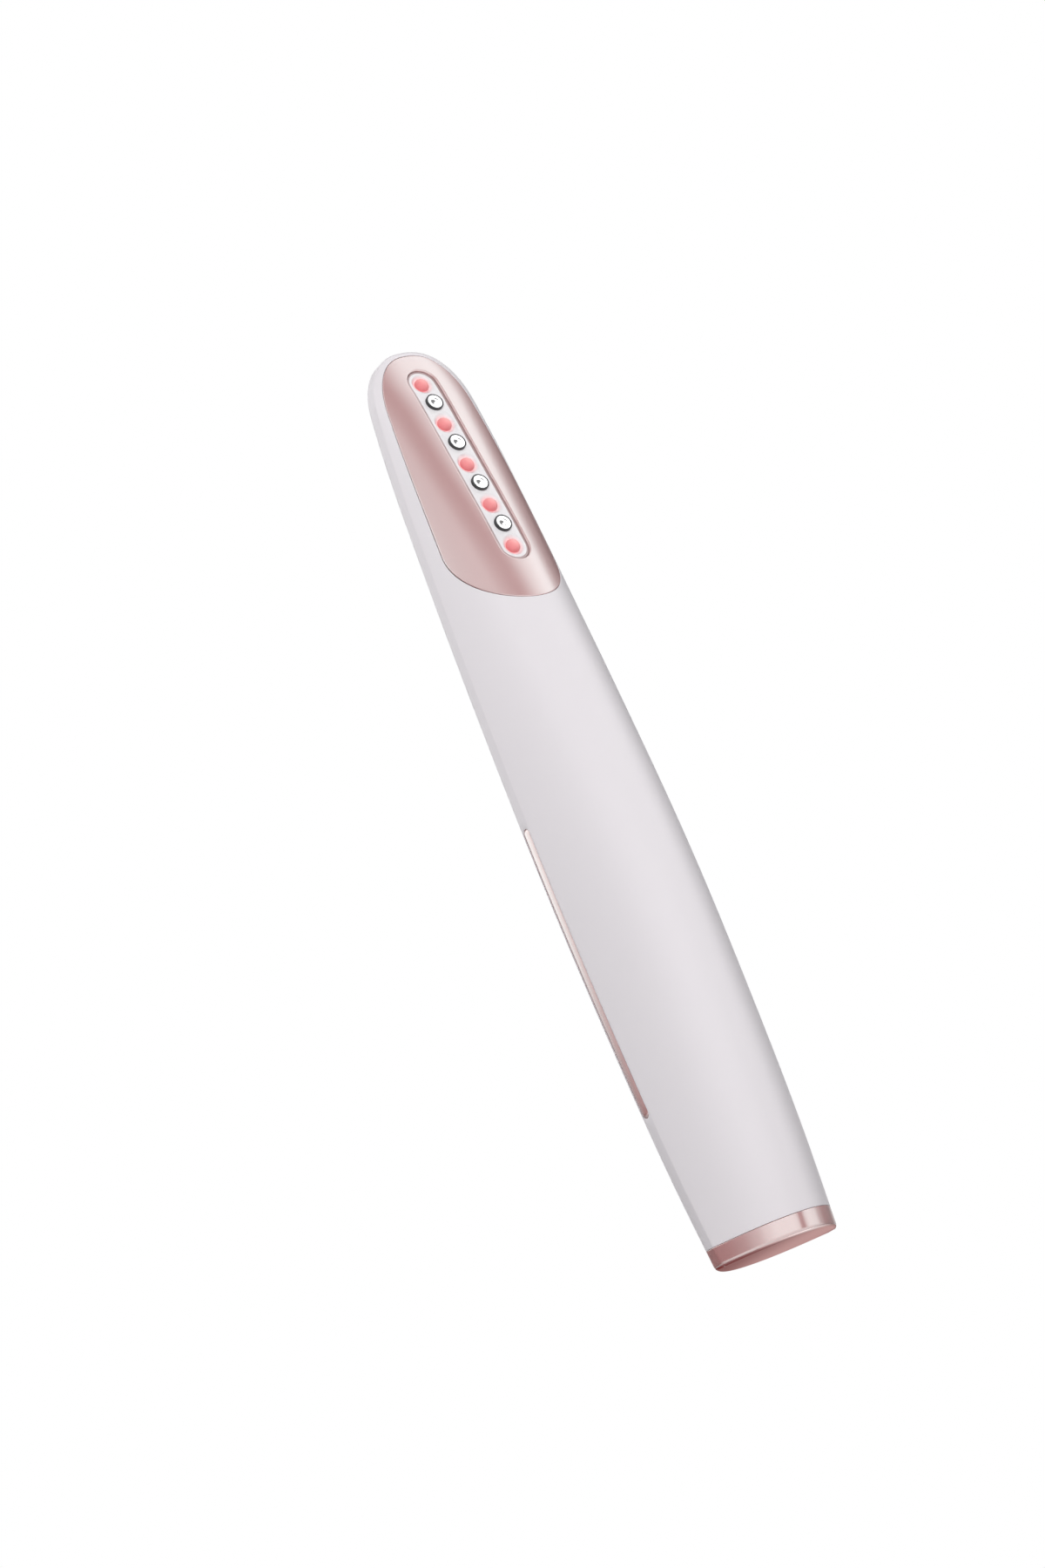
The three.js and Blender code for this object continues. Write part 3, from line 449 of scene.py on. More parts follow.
def to_crease(start, crease, side):
    """Places on the outer surface from a start to just before the crease at the side facet."""
    run = math.hypot(crease.x - start[0], crease.z - start[1])
    arm = min(crease_arm / max(run, tiny), longest_arm)
    return walk(start, (crease.x, crease.z), side, [share * (1 - arm) for share in spaced])


def skin_toward(place):
    """The level outward direction of the body at a place near its surface."""
    half = half_at(place.z)
    share = min(abs(place.x) / half, 1.0)
    side = -1 if place.y < 0 else 1
    if abs(place.y) <= facet + tiny:
        return Vector((1, 0, 0))
    rise = depth_at(place.z, side) - facet
    power = power_at(place.z, side)
    slope = rise * power * share ** (power - 1) / half
    return Vector((slope, side, 0)).normalized()


def trimmed(row, cut):
    """A row that is moved inwards by a cut and kept to the right half."""
    if cut:
        row = [place - skin_toward(place) * cut for place in row]
    return [Vector((max(place.x, 0.0), place.y, place.z)) for place in row]


def plate_edge(turn, grow=0.0):
    """The outline of the head plate: from 0 to 1 round the arch, from 1 to 2 up the side to the tip."""
    half = plate_width * half_at(arch_top) + grow
    if turn <= 1:
        angle = turn * math.pi / 2
        return Vector((half * math.sin(angle), 0, arch_top - (plate_arch + grow) * math.cos(angle)))
    rise = math.sin((turn - 1) * math.pi / 2)
    top = length - plate_rim + grow
    x = plate_width * half_at(arch_top + (length - arch_top) * rise) + grow * (1 - rise)
    return Vector((x if turn < 2 else 0.0, 0, arch_top + (top - arch_top) * rise))


def outward_of(outline, turn, *grow):
    """The direction out of an outline, in X and Z; it is upright at both of its ends."""
    if turn in (0, 2):
        return Vector((0, 0, turn - 1))
    step = 0.01
    run = (outline(min(turn + step, 2), *grow) - outline(max(turn - step, 0), *grow)).normalized()
    return Vector((run.z, 0, -run.x))


def slot_columns(z, turn):
    """The key slot across the facet: its edges, walls and floor. The turn goes from -90 to 90 degrees at
    the slot's ends. Away from the slot there is none, and all places are the middle of the facet."""
    half = []
    for angle in quarter(edge_steps):
        half.append((slot_half + slot_edge * (1 - math.sin(angle)), slot_edge * (1 - math.cos(angle))))
    half.append((slot_half, slot_floor))
    if turn is None:
        return [Vector((half_at(z), 0, z))] * (2 * len(half))
    inward = -outline_normal(z)
    places = []
    for sign, run in ((-1, half), (1, half[::-1])):
        for out, deep in run:
            up = out * math.sin(turn)
            base = Vector((half_at(z + up), sign * out * math.cos(turn), z + up))
            places.append(base + inward * deep)
    return places


def seat_wall(start, outward):
    """The seat of the head plate at a place of its outline: its floor, wall and rounded edge."""
    here = Vector((start[0], 0, start[1]))
    inner = here - outward * seat_shelf
    floor_x, floor_z = max(inner.x, 0.0), min(inner.z, length - seat_tip)
    normal = skin_normal(*start, -1)
    row = [skin(floor_x, floor_z, -1) - skin_normal(floor_x, floor_z, -1) * seat_depth]
    row.append(skin(*start, -1) - normal * seat_depth)
    for angle in quarter(seat_steps):
        at = here + outward * (seam_edge * (1 - math.cos(angle)))
        deep = seam_edge * (1 - math.sin(angle))
        row.append(skin(max(at.x, 0.0), at.z, -1) - normal * deep)
    return row


def front_row(start, crease_z, slot_z=None, slot_turn=None, outward=None, cut=0.0):
    """One row of the front shell, from the centre line or the plate's seat to the inside of the seam."""
    crease = Vector((half_at(crease_z), -facet, crease_z))
    if outward is None:
        row = [skin(*start, -1)] * seat_places
        first = start
    else:
        row = seat_wall(start, outward)
        first = (max(start[0] + outward.x * seam_edge, 0.0), start[1] + outward.z * seam_edge)
    row += to_crease(first, crease, -1)[1:]
    row += bend(row[-1], crease, crease + Vector((0, crease_drop, 0)))[1:]
    row += slot_columns(crease_z if slot_z is None else slot_z, slot_turn)
    normal = outline_normal(crease_z)
    back = parting - seam / 2
    for angle in quarter(edge_steps):
        y = back - parting_edge * (1 - math.sin(angle))
        row.append(Vector((crease.x, y, crease_z)) - normal * (parting_edge * (1 - math.cos(angle))))
    row.append(Vector((crease.x, back, crease_z)) - normal * lip)
    return trimmed(row, cut)


front_rows = []


def level_row(z, slot_z=None, slot_turn=None, cut=0.0):
    front_rows.append(front_row((0, z), z, slot_z, slot_turn, cut=cut))


def plain_rows(low, high, count):
    for i in range(count + 1):
        level_row(low + (high - low) * i / count)


start_gap = 0.24
key_gap_below, key_gap_above = 1.2, 1.5
foot_steps = 14
slot_reach = slot_half + slot_edge
slot_lead = 0.5
slot_fan = 0.45
fan_steps = 6
slot_steps = 30
low_middle = key_low + key_half
high_middle = key_high - key_half
level_row(shell_low, cut=lip)
for angle in quarter(edge_steps):
    level_row(shell_low + seam_edge * (1 - math.cos(angle)), cut=seam_edge * (1 - math.sin(angle)))
plain_rows(shell_low + start_gap, key_low - key_gap_below, foot_steps)
level_row(low_middle - slot_reach - slot_lead, low_middle - slot_reach)
for i in range(fan_steps + 1):
    share = 1 - i / fan_steps
    level_row(low_middle - (slot_reach + slot_fan) * share, low_middle, -math.pi / 2 * share)
for i in range(1, slot_steps):
    z = low_middle + (high_middle - low_middle) * i / slot_steps
    level_row(z, z, 0.0)
for i in range(fan_steps + 1):
    share = i / fan_steps
    level_row(high_middle + (slot_reach + slot_fan) * share, high_middle, math.pi / 2 * share)
level_row(high_middle + slot_reach + slot_lead, high_middle + slot_reach)

arch_lead = 7.0
arch_stop = 0.1
crease_rise = 0.6
crease_lead = 4.4
crease_power = 1.3
neck_steps = 12
lead_steps = 4
arch_steps = 20
tip_steps = 40
plain_rows(key_high + key_gap_above, arch_low - arch_lead, neck_steps)
for i in range(1, lead_steps + 1):
    z = arch_low - arch_lead + (arch_lead - arch_stop) * i / lead_steps
    front_rows.append(front_row((0, z - seat_gap), arch_low - arch_lead + crease_rise * i))


def seat_row(turn):
    here = plate_edge(turn, seat_gap)
    if turn <= 1:
        crease_low = arch_low - crease_lead
        crease_z = crease_low + (arch_top - crease_low) * turn**crease_power
    else:
        crease_z = arch_top + (length - arch_top) * math.sin((turn - 1) * math.pi / 2)
    return front_row((here.x, here.z), crease_z, outward=outward_of(plate_edge, turn, seat_gap))


for i in range(arch_steps + 1):
    front_rows.append(seat_row(i / arch_steps))
for i in range(1, tip_steps + 1):
    front_rows.append(seat_row(1 + i / tip_steps))
front_shell = sheet(front_rows, "front_shell")

satin = Finish("satin_shell")
satin.shade(
    Base_Color=(0.78, 0.745, 0.77, 1),
    Roughness=satin.vary(0.42, 0.08, 400.0),
    Normal=satin.bumps(2600.0, 0.00001, 0.5, 3.0),
)
front_shell.data.materials.append(satin.owner)
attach(front_shell, "wand_body")
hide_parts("front_shell")

# Rear shell
# The plain rear half of the housing, of the same plastic. Its lower part has the two round holes of the
# charging studs.
stud_middle = 19.1
stud_pitch = 8.85
low_stud = stud_middle - stud_pitch / 2
high_stud = stud_middle + stud_pitch / 2
bezel_hole = 1.85
hole_edge = 0.06
hole_wall = 1.0
hole_fan = 3.4
hole_clear = 3.8
hole_steps = 16
heel_steps = 5
back_steps = 40
rear_rows = []


def rear_row(start, crease_z, cut=0.0, outward=None):
    """One row of the rear shell, from the inside of the seam to the centre line or down a stud's hole."""
    crease = Vector((half_at(crease_z), facet, crease_z))
    normal = outline_normal(crease_z)
    front = parting + seam / 2
    row = [Vector((crease.x, front, crease_z)) - normal * lip]
    for angle in quarter(edge_steps):
        y = front + parting_edge * (1 - math.cos(angle))
        row.append(Vector((crease.x, y, crease_z)) - normal * (parting_edge * (1 - math.sin(angle))))
    walked = to_crease(start, crease, 1)[::-1]
    row += bend(row[-1], crease, walked[0])[1:]
    row += walked[1:]
    if outward is None:
        row += [walked[-1]] * (edge_steps + 1)
    else:
        normal = skin_normal(*start, 1)
        for angle in quarter(edge_steps)[1:]:
            at = Vector((start[0], 0, start[1])) - outward * (hole_edge * math.sin(angle))
            deep = hole_edge * (1 - math.cos(angle))
            row.append(skin(max(at.x, 0), at.z, 1) - normal * deep)
        row.append(row[-1] - normal * hole_wall)
    return trimmed(row, cut)


def rear_rows_between(low, high, count):
    for i in range(1, count + 1):
        z = low + (high - low) * i / count
        rear_rows.append(rear_row((0, z), z))


def stud_hole_rows(middle):
    """Rows that fan out round the hole of a stud, from below it to above it."""
    for i in range(hole_steps + 1):
        angle = math.pi * i / hole_steps
        outward = Vector((math.sin(angle) if 0 < i < hole_steps else 0.0, 0, -math.cos(angle)))
        at = Vector((0, 0, middle)) + outward * (bezel_hole + hole_edge)
        rear_rows.append(rear_row((at.x, at.z), middle - hole_fan * math.cos(angle), outward=outward))


rear_rows.append(rear_row((0, shell_low), shell_low, cut=lip))
for angle in quarter(edge_steps):
    z = shell_low + seam_edge * (1 - math.cos(angle))
    rear_rows.append(rear_row((0, z), z, cut=seam_edge * (1 - math.sin(angle))))
rear_rows_between(shell_low + start_gap, low_stud - hole_clear, heel_steps)
stud_hole_rows(low_stud)
rear_rows_between(low_stud + hole_clear, high_stud - hole_clear, 1)
stud_hole_rows(high_stud)
rear_rows_between(high_stud + hole_clear, arch_top, back_steps)
for i in range(1, tip_steps + 1):
    z = arch_top + (length - arch_top) * math.sin(math.pi / 2 * i / tip_steps)
    rear_rows.append(rear_row((0, z), z))
rear_shell = sheet(rear_rows, "rear_shell")
rear_shell.data.materials.append(satin.owner)
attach(rear_shell, "wand_body")
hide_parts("rear_shell")

# End cap
# A plated plastic foot pressed into the lower end. Its lower edge is rounded, and its underside has a very
# shallow dish, so that the wand stands on the rim.
cap_top = cap_height - seam / 2
cap_arm = 0.03
cap_crease = 0.2
cap_lip = 1.5
cap_levels = (0.85, 2.052, 3.2)
foot_edge = 0.7
foot_edge_steps = 8
foot_dish = 0.1
dish_steps = 13
underside_from = -0.6


def cap_row(z, inset, shrink=1.0):
    """The outline of the wand at a height, set inwards and shrunk towards its middle."""
    row = []
    for side in (-1, 1):
        crease = Vector((half_at(z), side * facet, z))
        half = walk((0, z), (crease.x, z), side, [share * (1 - cap_arm) for share in spaced])
        half += bend(half[-1], crease, crease - Vector((0, side * cap_crease, 0)))[1:]
        row += half if side < 0 else half[::-1]
    return [Vector((place.x * shrink, place.y * shrink, place.z)) for place in trimmed(row, inset)]


cap_rows = []
for i in range(dish_steps):
    shrink = i / dish_steps
    cap_rows.append(cap_row(foot_dish * (1 - shrink**2), foot_edge, shrink))
for angle in quarter(foot_edge_steps):
    cap_rows.append(cap_row(foot_edge * (1 - math.cos(angle)), foot_edge * (1 - math.sin(angle))))
for z in cap_levels:
    cap_rows.append(cap_row(z, 0))
for angle in quarter(edge_steps):
    cap_rows.append(cap_row(cap_top - seam_edge * (1 - math.sin(angle)), seam_edge * (1 - math.cos(angle))))
cap_rows.append(cap_row(cap_top, cap_lip))
end_cap = sheet(cap_rows, "end_cap")

plated = Finish("rose_cap")
plated.shade(
    Base_Color=(0.52, 0.24, 0.235, 1),
    Metallic=0.0,
    Roughness=plated.vary(0.15, 0.04, 160.0),
    IOR=2.65,
    Specular_Tint=(0.82, 1.0, 0.98, 1),
    Normal=plated.bumps(900.0, 0.00002, 0.1),
)
# Painted reflection in the underside's colour: brightest right of its middle, darker towards both ends.
left_dark, left_bright = -0.011, 0.006
right_bright, right_dark = 0.0095, 0.0135
painted_reflection_underside = Finish("rose_underside")
across = painted_reflection_underside.axis(painted_reflection_underside.place(), "X")
painted_reflection_left = painted_reflection_underside.spread(across, left_dark, left_bright)
painted_reflection_share = painted_reflection_left * painted_reflection_underside.spread(across, right_dark, right_bright)
painted_reflection_underside.shade(
    Base_Color=painted_reflection_underside.blend(painted_reflection_share, (0.28, 0.115, 0.115, 1), (0.97, 0.84, 0.82, 1)),
    Metallic=1.0,
    Roughness=0.3,
    Specular_Tint=(0.44, 0.23, 0.22, 1),
    Normal=painted_reflection_underside.bumps(900.0, 0.00002, 0.2),
)
end_cap.data.materials.append(plated.owner)
end_cap.data.materials.append(painted_reflection_underside.owner)
for face in end_cap.data.polygons:
    face.material_index = 1 if face.normal.z < underside_from else 0
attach(end_cap, "wand_body")
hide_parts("end_cap")

# Floor
# The pale floor of the studio, which fades into the white of the room. It has an opening as large as the
# foot, so that light comes up from below.
rim_width = 0.4
floor_growth = 120
fade_from, fade_to = 0.06, 0.40


def level_sheet(rows, name):
    """A flat piece of floor whose faces look up."""
    made = sheet(rows, name)
    shape = bmesh.new()
    shape.from_mesh(made.data)
    down = [face for face in shape.faces if face.normal.z < 0]
    bmesh.ops.reverse_faces(shape, faces=down)
    shape.to_mesh(made.data)
    shape.free()
    return made


def floor_paint(name, clear_to_light):
    """The floor's finish, clear from below; bright surfaces look through it, and light through its rim."""
    paint = Finish(name)
    seen = paint.ray("Camera")
    away = paint.node("ShaderNodeVectorMath", {"operation": "LENGTH"}, [paint.place()], "Value")
    fade = paint.spread(away, fade_from, fade_to)
    seen_colour = paint.blend(fade, (0.9, 0.9, 0.9, 1), black)
    seen_glow = paint.blend(fade, (0.32, 0.32, 0.32, 1), white)
    paint.shade(
        Base_Color=paint.blend(seen, (0.5, 0.5, 0.5, 1), seen_colour),
        Roughness=0.6,
        Specular_IOR_Level=0.0,
        Emission_Color=paint.blend(seen, black, seen_glow),
        Emission_Strength=1.0,
    )
    below = paint.node("ShaderNodeNewGeometry", {}, [], "Backfacing")
    share = below.math("MAXIMUM", 1 - seen if clear_to_light else paint.ray("Glossy"))
    clear = paint.node("ShaderNodeBsdfTransparent", {}, [])
    opaque = Value(paint, paint.shader.outputs[0])
    surface = paint.tree.nodes["Material Output"].inputs["Surface"]
    paint.feed(surface, paint.node("ShaderNodeMixShader", {}, [share, opaque, clear]))
    return paint.owner


rim_outline = cap_row(0, -rim_width)
floor_rim = level_sheet([cap_row(0, foot_edge), rim_outline], "floor_rim")
floor_rim.data.materials.append(floor_paint("floor_rim", True))
floor = level_sheet([rim_outline, [place * floor_growth for place in rim_outline]], "floor")
floor.data.materials.append(floor_paint("floor", False))

# Head plate
# The bright treatment face at the tip: a thin plated skin in the seat of the front shell, with an arched
# lower end and a round-ended slot for the row of lights.
plate_steps = 96
plate_edge_radius = 0.16
plate_edge_steps = 4
plate_wall = 0.75
slot_edge_radius = 0.3
slot_edge_steps = 7
slot_wall = 0.8
slot_width = 2.92
slot_low, slot_high = 123.37, 163.7
slot_low_middle = slot_low + slot_width
slot_high_middle = slot_high - slot_width
slot_low_turn, slot_high_turn = 0.6, 1.55


def window_slot(turn, grow=0.0):
    """The outline of the window slot, from 0 at its lower end to 2 at its upper end."""
    half = slot_width + grow
    if turn < slot_low_turn:
        angle = turn / slot_low_turn * math.pi / 2
        return Vector((half * math.sin(angle), 0, slot_low_middle - half * math.cos(angle)))
    if turn < slot_high_turn:
        share = (turn - slot_low_turn) / (slot_high_turn - slot_low_turn)
        return Vector((half, 0, slot_low_middle + (slot_high_middle - slot_low_middle) * share))
    angle = (turn - slot_high_turn) / (2 - slot_high_turn) * math.pi / 2
    return Vector((half * math.cos(angle) if turn < 2 else 0.0, 0, slot_high_middle + half * math.sin(angle)))


def edge_drop(place, toward, radius, steps, deep):
    """A rounded edge of the plate that starts on its surface and ends on its side wall."""
    row = []
    inner = place - toward * radius
    normal = skin_normal(max(place.x, 0), place.z, -1)
    for angle in quarter(steps):
        at = inner + toward * radius * math.sin(angle)
        row.append(skin(max(at.x, 0.0), at.z, -1) - normal * radius * (1 - math.cos(angle)))
    row.append(row[-1] - normal * deep)
    return row


plate_rows = []
for i in range(plate_steps + 1):
    turn = 2 * i / plate_steps
    outer, out_way = plate_edge(turn), outward_of(plate_edge, turn)
    inner, in_way = window_slot(turn), -outward_of(window_slot, turn)
    start = inner - in_way * slot_edge_radius
    stop = outer - out_way * plate_edge_radius
    row = edge_drop(inner, in_way, slot_edge_radius, slot_edge_steps, slot_wall)[::-1]
    row += walk((start.x, start.z), (stop.x, stop.z), -1, spaced)[1:-1]
    row += edge_drop(outer, out_way, plate_edge_radius, plate_edge_steps, plate_wall)
    for place in row:
        place.x = max(place.x, 0.0) if 0 < i < plate_steps else 0.0
    plate_rows.append(row)
head_plate = sheet(plate_rows, "head_plate")

rose = Finish("rose_gold")
rose.shade(
    Base_Color=(0.56, 0.312, 0.308, 1),
    Metallic=0.0,
    Roughness=rose.vary(0.21, 0.04, 160.0),
    IOR=2.65,
    Specular_Tint=(0.78, 1.0, 0.99, 1),
    Normal=rose.bumps(900.0, 0.00002, 0.1),
)
head_plate.data.materials.append(rose.owner)
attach(head_plate, "wand_body")
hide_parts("head_plate")

# Window bar
# A milky bar with round ends, set a little below the plate, which carries the row of lights and contacts.
# It sinks into a shallow dimple round each light. Its colour has a painted shadow line along its border,
# and painted pink light round each lamp, where it also shines faintly red.
light_count = 5
top_light = 161.0
low_light = 126.4
light_pitch = (top_light - low_light) / (light_count - 1)
light_places = [top_light - light_pitch * i for i in range(light_count)]
contact_places = [top_light - light_pitch * (i + 0.5) for i in range(light_count - 1)]
head_sunk = 0.5
light_sunk = 1.08
dimple_low, dimple_high = 1.45, 2.1
window_gap = 0.08
window_wall = 0.8
window_steps = 180
window_shares = [step / 16 for step in range(15)] + [0.92, 0.96, 1.0]
brim_rise = 0.12
brim_from = 0.9
border_from, border_to = 0.52, 0.4
painted_halo_from, painted_halo_to = 0.0013, 0.0021


def on_centre(z, side):
    """The frame on the centre line of the front (-1) or rear (1) at a height, with its Y outwards."""
    return stand(skin(0, z, side), Vector((side, 0, 0)), skin_normal(0, z, side))


def light_centres(right=0.0, up=0.0):
    """The middles of the lights, in metres, moved a little to the right and up as seen from the front."""
    return [on_centre(z, -1) @ Vector((-right, -light_sunk, up)) * to_metres for z in light_places]


light_tops = [skin(0, z, -1) for z in light_places]
window_rows = []
for i in range(window_steps + 1):
    off_centre = 0 < i < window_steps
    outer = window_slot(2 * i / window_steps, -window_gap)
    inner = Vector((0, 0, min(max(outer.z, slot_low_middle), slot_high_middle)))
    row = []
    for share in window_shares:
        at = inner.lerp(outer, share)
        at.x = max(at.x, 0.0) if off_centre else 0.0
        place = skin(at.x, at.z, -1)
        near = min((place - top).length for top in light_tops)
        deep = head_sunk + (light_sunk - head_sunk) * ease(near, dimple_high, dimple_low)
        brim = brim_rise * max(0.0, (share - brim_from) / (1 - brim_from)) ** 2
        row.append(place - skin_normal(at.x, at.z, -1) * (deep - brim))
    row.append(row[-1] - skin_normal(outer.x, outer.z, -1) * window_wall)
    row[-1].x = max(row[-1].x, 0.0) if off_centre else 0.0
    window_rows.append(row)
window_bar = sheet(window_rows, "window_bar")

milky = Finish("milky_window")
# Painted light round each lamp: the colour turns pink near it, and the bar shines faintly red there.
painted_halo = milky.spread(milky.from_nearest(light_centres()), painted_halo_from, painted_halo_to)
along, up = [milky.axis(milky.place(), name) for name in "XZ"]
# Painted shadow line: the colour darkens to brown within about half a millimetre of the bar's edge.
slot_middle = (slot_low + slot_high) / 2 * to_metres
slot_run = (slot_high_middle - slot_low_middle) / 2 * to_metres
beyond = ((up - slot_middle).math("ABSOLUTE") - slot_run).math("MAXIMUM", 0.0)
off_line = (along * along + beyond * beyond).math("SQRT")
border_start, border_end = [(slot_width - inset) * to_metres for inset in (border_from, border_to)]
painted_shadow_share = milky.spread(off_line, border_start, border_end)
face_with_painted_light = milky.blend(painted_halo, (0.88, 0.66, 0.67, 1), (0.78, 0.76, 0.775, 1))
milky.shade(
    Base_Color=milky.blend(painted_shadow_share, face_with_painted_light, (0.38, 0.27, 0.27, 1)),
    Roughness=milky.vary(0.28, 0.06, 500.0),
    Coat_Weight=0.2,
    Emission_Color=milky.blend(painted_halo, (0.04, 0.005, 0.006, 1), black),
    Emission_Strength=1.0,
)
window_bar.data.materials.append(milky.owner)
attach(window_bar, "wand_body")
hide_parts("window_bar")

# Lights
# Five round red lamps with domed lenses, each in a dimple of the window bar. They shine red, and a
# painted highlight lies right of and above their middle, with painted shade towards the rim.
lens_radius = 1.31
lens_squash = 0.74
lens_rise = 0.16
lens_depth = 1.0
lens_steps = 12
painted_highlight_right, painted_highlight_up = 0.25, 0.3
painted_highlight_from, painted_highlight_to = 0.0006, 0.0017
spin_steps = 48
spin_weld = 0.0005


def spun(profile, base, name):
    """A turned piece from a profile of radius and height, standing on a base frame."""
    shape = bmesh.new()
    points = [shape.verts.new((radius, height, 0)) for radius, height in profile]
    for first, second in zip(points, points[1:]):
        shape.edges.new((first, second))
    bmesh.ops.spin(
        shape,
        geom=shape.verts[:] + shape.edges[:],
        cent=(0, 0, 0),
        axis=(0, 1, 0),
        angle=2 * math.pi,
        steps=spin_steps,
        use_merge=True,
    )
    bmesh.ops.remove_doubles(shape, verts=shape.verts, dist=spin_weld)
    bmesh.ops.transform(shape, matrix=base, verts=shape.verts)
    return settle(shape, name, sharp_from=35)


def arc(middle, radius, start, end, steps, squash=1.0):
    """Points of an arc in radius and height; angles from the radius direction, in degrees."""
    points = []
    for i in range(steps + 1):
        angle = math.radians(start + (end - start) * i / steps)
        points.append((middle[0] + radius * math.cos(angle), middle[1] + radius * squash * math.sin(angle)))
    return points


ruby = Finish("red_lens")
# Painted highlight right of and above each lens's middle, with painted shade towards its rim.
painted_highlight = ruby.spread(ruby.from_nearest(light_centres(painted_highlight_right, painted_highlight_up)), painted_highlight_from, painted_highlight_to)
ruby.shade(
    Base_Color=ruby.blend(painted_highlight, (0.98, 0.52, 0.50, 1), (0.72, 0.23, 0.24, 1)),
    Roughness=0.34,
    Specular_IOR_Level=0.35,
    Emission_Color=ruby.blend(painted_highlight, (0.20, 0.065, 0.06, 1), (0.10, 0.012, 0.014, 1)),
    Emission_Strength=1.0,
)
lens_base = lens_rise - light_sunk
lens_profile = [(0, lens_base - lens_depth), (lens_radius, lens_base - lens_depth)]
lens_profile += arc((0, lens_base), lens_radius, 0, 90, lens_steps, lens_squash)
for number, z in enumerate(light_places, 1):
    lens = spun(lens_profile, on_centre(z, -1), f"light_lens_{number}")
    lens.data.materials.append(ruby.owner)
    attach(lens, "wand_body")
    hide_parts(f"light_lens_{number}")

# Contacts
# Four polished metal heads with a low dome, between the lights, each in a dark rubber ring in the window
# bar. They are turned, and pressed through the bar onto the contact strip.
pin_radius = 1.47
pin_depth = 2.4
pin_shoulder = 0.12
pin_bevel = 0.02
rim_radius = 1.33
rim_edge = 0.06
rim_sunk = 0.04
dome_radius = 1.05
dome_height = 0.3
dome_base = 0.02
dome_steps = 16
ring_radius = 1.6
ring_edge = 0.08
ring_hole = 1.49
ring_depth = 2.0
ring_sunk = 0.03
mouth_radius = 1.35
mouth_low, mouth_high = 0.1, 0.02
pin_profile = [(0, -pin_depth), (pin_radius, -pin_depth)]
pin_profile += [(pin_radius, -pin_shoulder - pin_bevel), (rim_radius, -pin_shoulder)]
pin_profile += arc((rim_radius - rim_edge, -rim_sunk), rim_edge, 0, 90, 4)
for step in range(dome_steps + 1):
    share = step / dome_steps
    swell = dome_height * (1 - math.cos(math.pi * share)) / 2
    pin_profile.append((dome_radius * (1 - share), dome_base + swell))
ring_profile = [(ring_hole, -ring_depth), (ring_hole, -pin_shoulder)]
ring_profile += [(mouth_radius, -mouth_low), (mouth_radius, -mouth_high)]
ring_profile += arc((ring_radius - ring_edge, -ring_sunk), ring_edge, 90, 0, 5)
ring_profile += [(ring_radius, -ring_depth), (ring_hole, -ring_depth)]
chrome = Finish("contact_chrome")
chrome.shade(
    Base_Color=(0.88, 0.88, 0.885, 1),
    Metallic=1.0,
    Roughness=chrome.vary(0.13, 0.05, 700.0),
    Normal=chrome.bumps(1800.0, 0.000004, 0.1),
)
rubber = Finish("dark_rubber")
rubber.shade(
    Base_Color=rubber.mottle(900.0, (0.024, 0.024, 0.026, 1), (0.042, 0.042, 0.045, 1)),
    Roughness=0.55,
    Normal=rubber.bumps(2400.0, 0.00001, 0.4),
)
for number, z in enumerate(contact_places, 1):
    pin = spun(pin_profile, on_centre(z, -1), f"contact_pin_{number}")
    pin.data.materials.append(chrome.owner)
    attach(pin, "wand_body")
    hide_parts(f"contact_pin_{number}")
    ring = spun(ring_profile, on_centre(z, -1), f"contact_ring_{number}")
    ring.data.materials.append(rubber.owner)
    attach(ring, "wand_body")
    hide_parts(f"contact_ring_{number}")

# Keys
# The long bright bars in the side facets, of plated plastic and rounded across. Each slides inwards a
# little when it is pressed.
key_wall = 1.0
key_brow = -0.12
key_proud = 0.2
key_power = 2.4
key_steps = 12
key_end_steps = 8
key_run_steps = 40


def key_rows(side):
    """The rows of a key, from its lower end to its upper end; each crosses it from wall to wall."""
    stops = [(low_middle, -angle) for angle in quarter(key_end_steps)[:0:-1]]
    for i in range(key_run_steps + 1):
        stops.append((low_middle + (high_middle - low_middle) * i / key_run_steps, 0.0))
    stops += [(high_middle, angle) for angle in quarter(key_end_steps)[1:]]
    half = [(key_half, -key_wall)]
    for angle in quarter(key_steps):
        share = math.cos(angle)
        half.append((key_half * share, key_brow + (key_proud - key_brow) * (1 - share**key_power)))
    rows = []
    for middle, turn in stops:
        row = []
        for sign, run in ((-1, half), (1, half[-2::-1])):
            for out, lift in run:
                z = middle + out * math.sin(turn)
                place = Vector((half_at(z), sign * out * math.cos(turn), z)) + outline_normal(z) * lift
                row.append(Vector((place.x * side, place.y, place.z)))
        rows.append(row)
    return rows


pressed_rose = Finish("rose_key")
pressed_rose.shade(
    Base_Color=(0.52, 0.25, 0.245, 1),
    Metallic=0.0,
    Roughness=pressed_rose.vary(0.17, 0.04, 160.0),
    IOR=3.0,
    Specular_Tint=(0.86, 1.0, 0.98, 1),
)
for name, side in (("left_key", -1), ("right_key", 1)):
    key = sheet(key_rows(side), name, mirror=False)
    key.data.materials.append(pressed_rose.owner)
    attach(key, name)
    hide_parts(name)

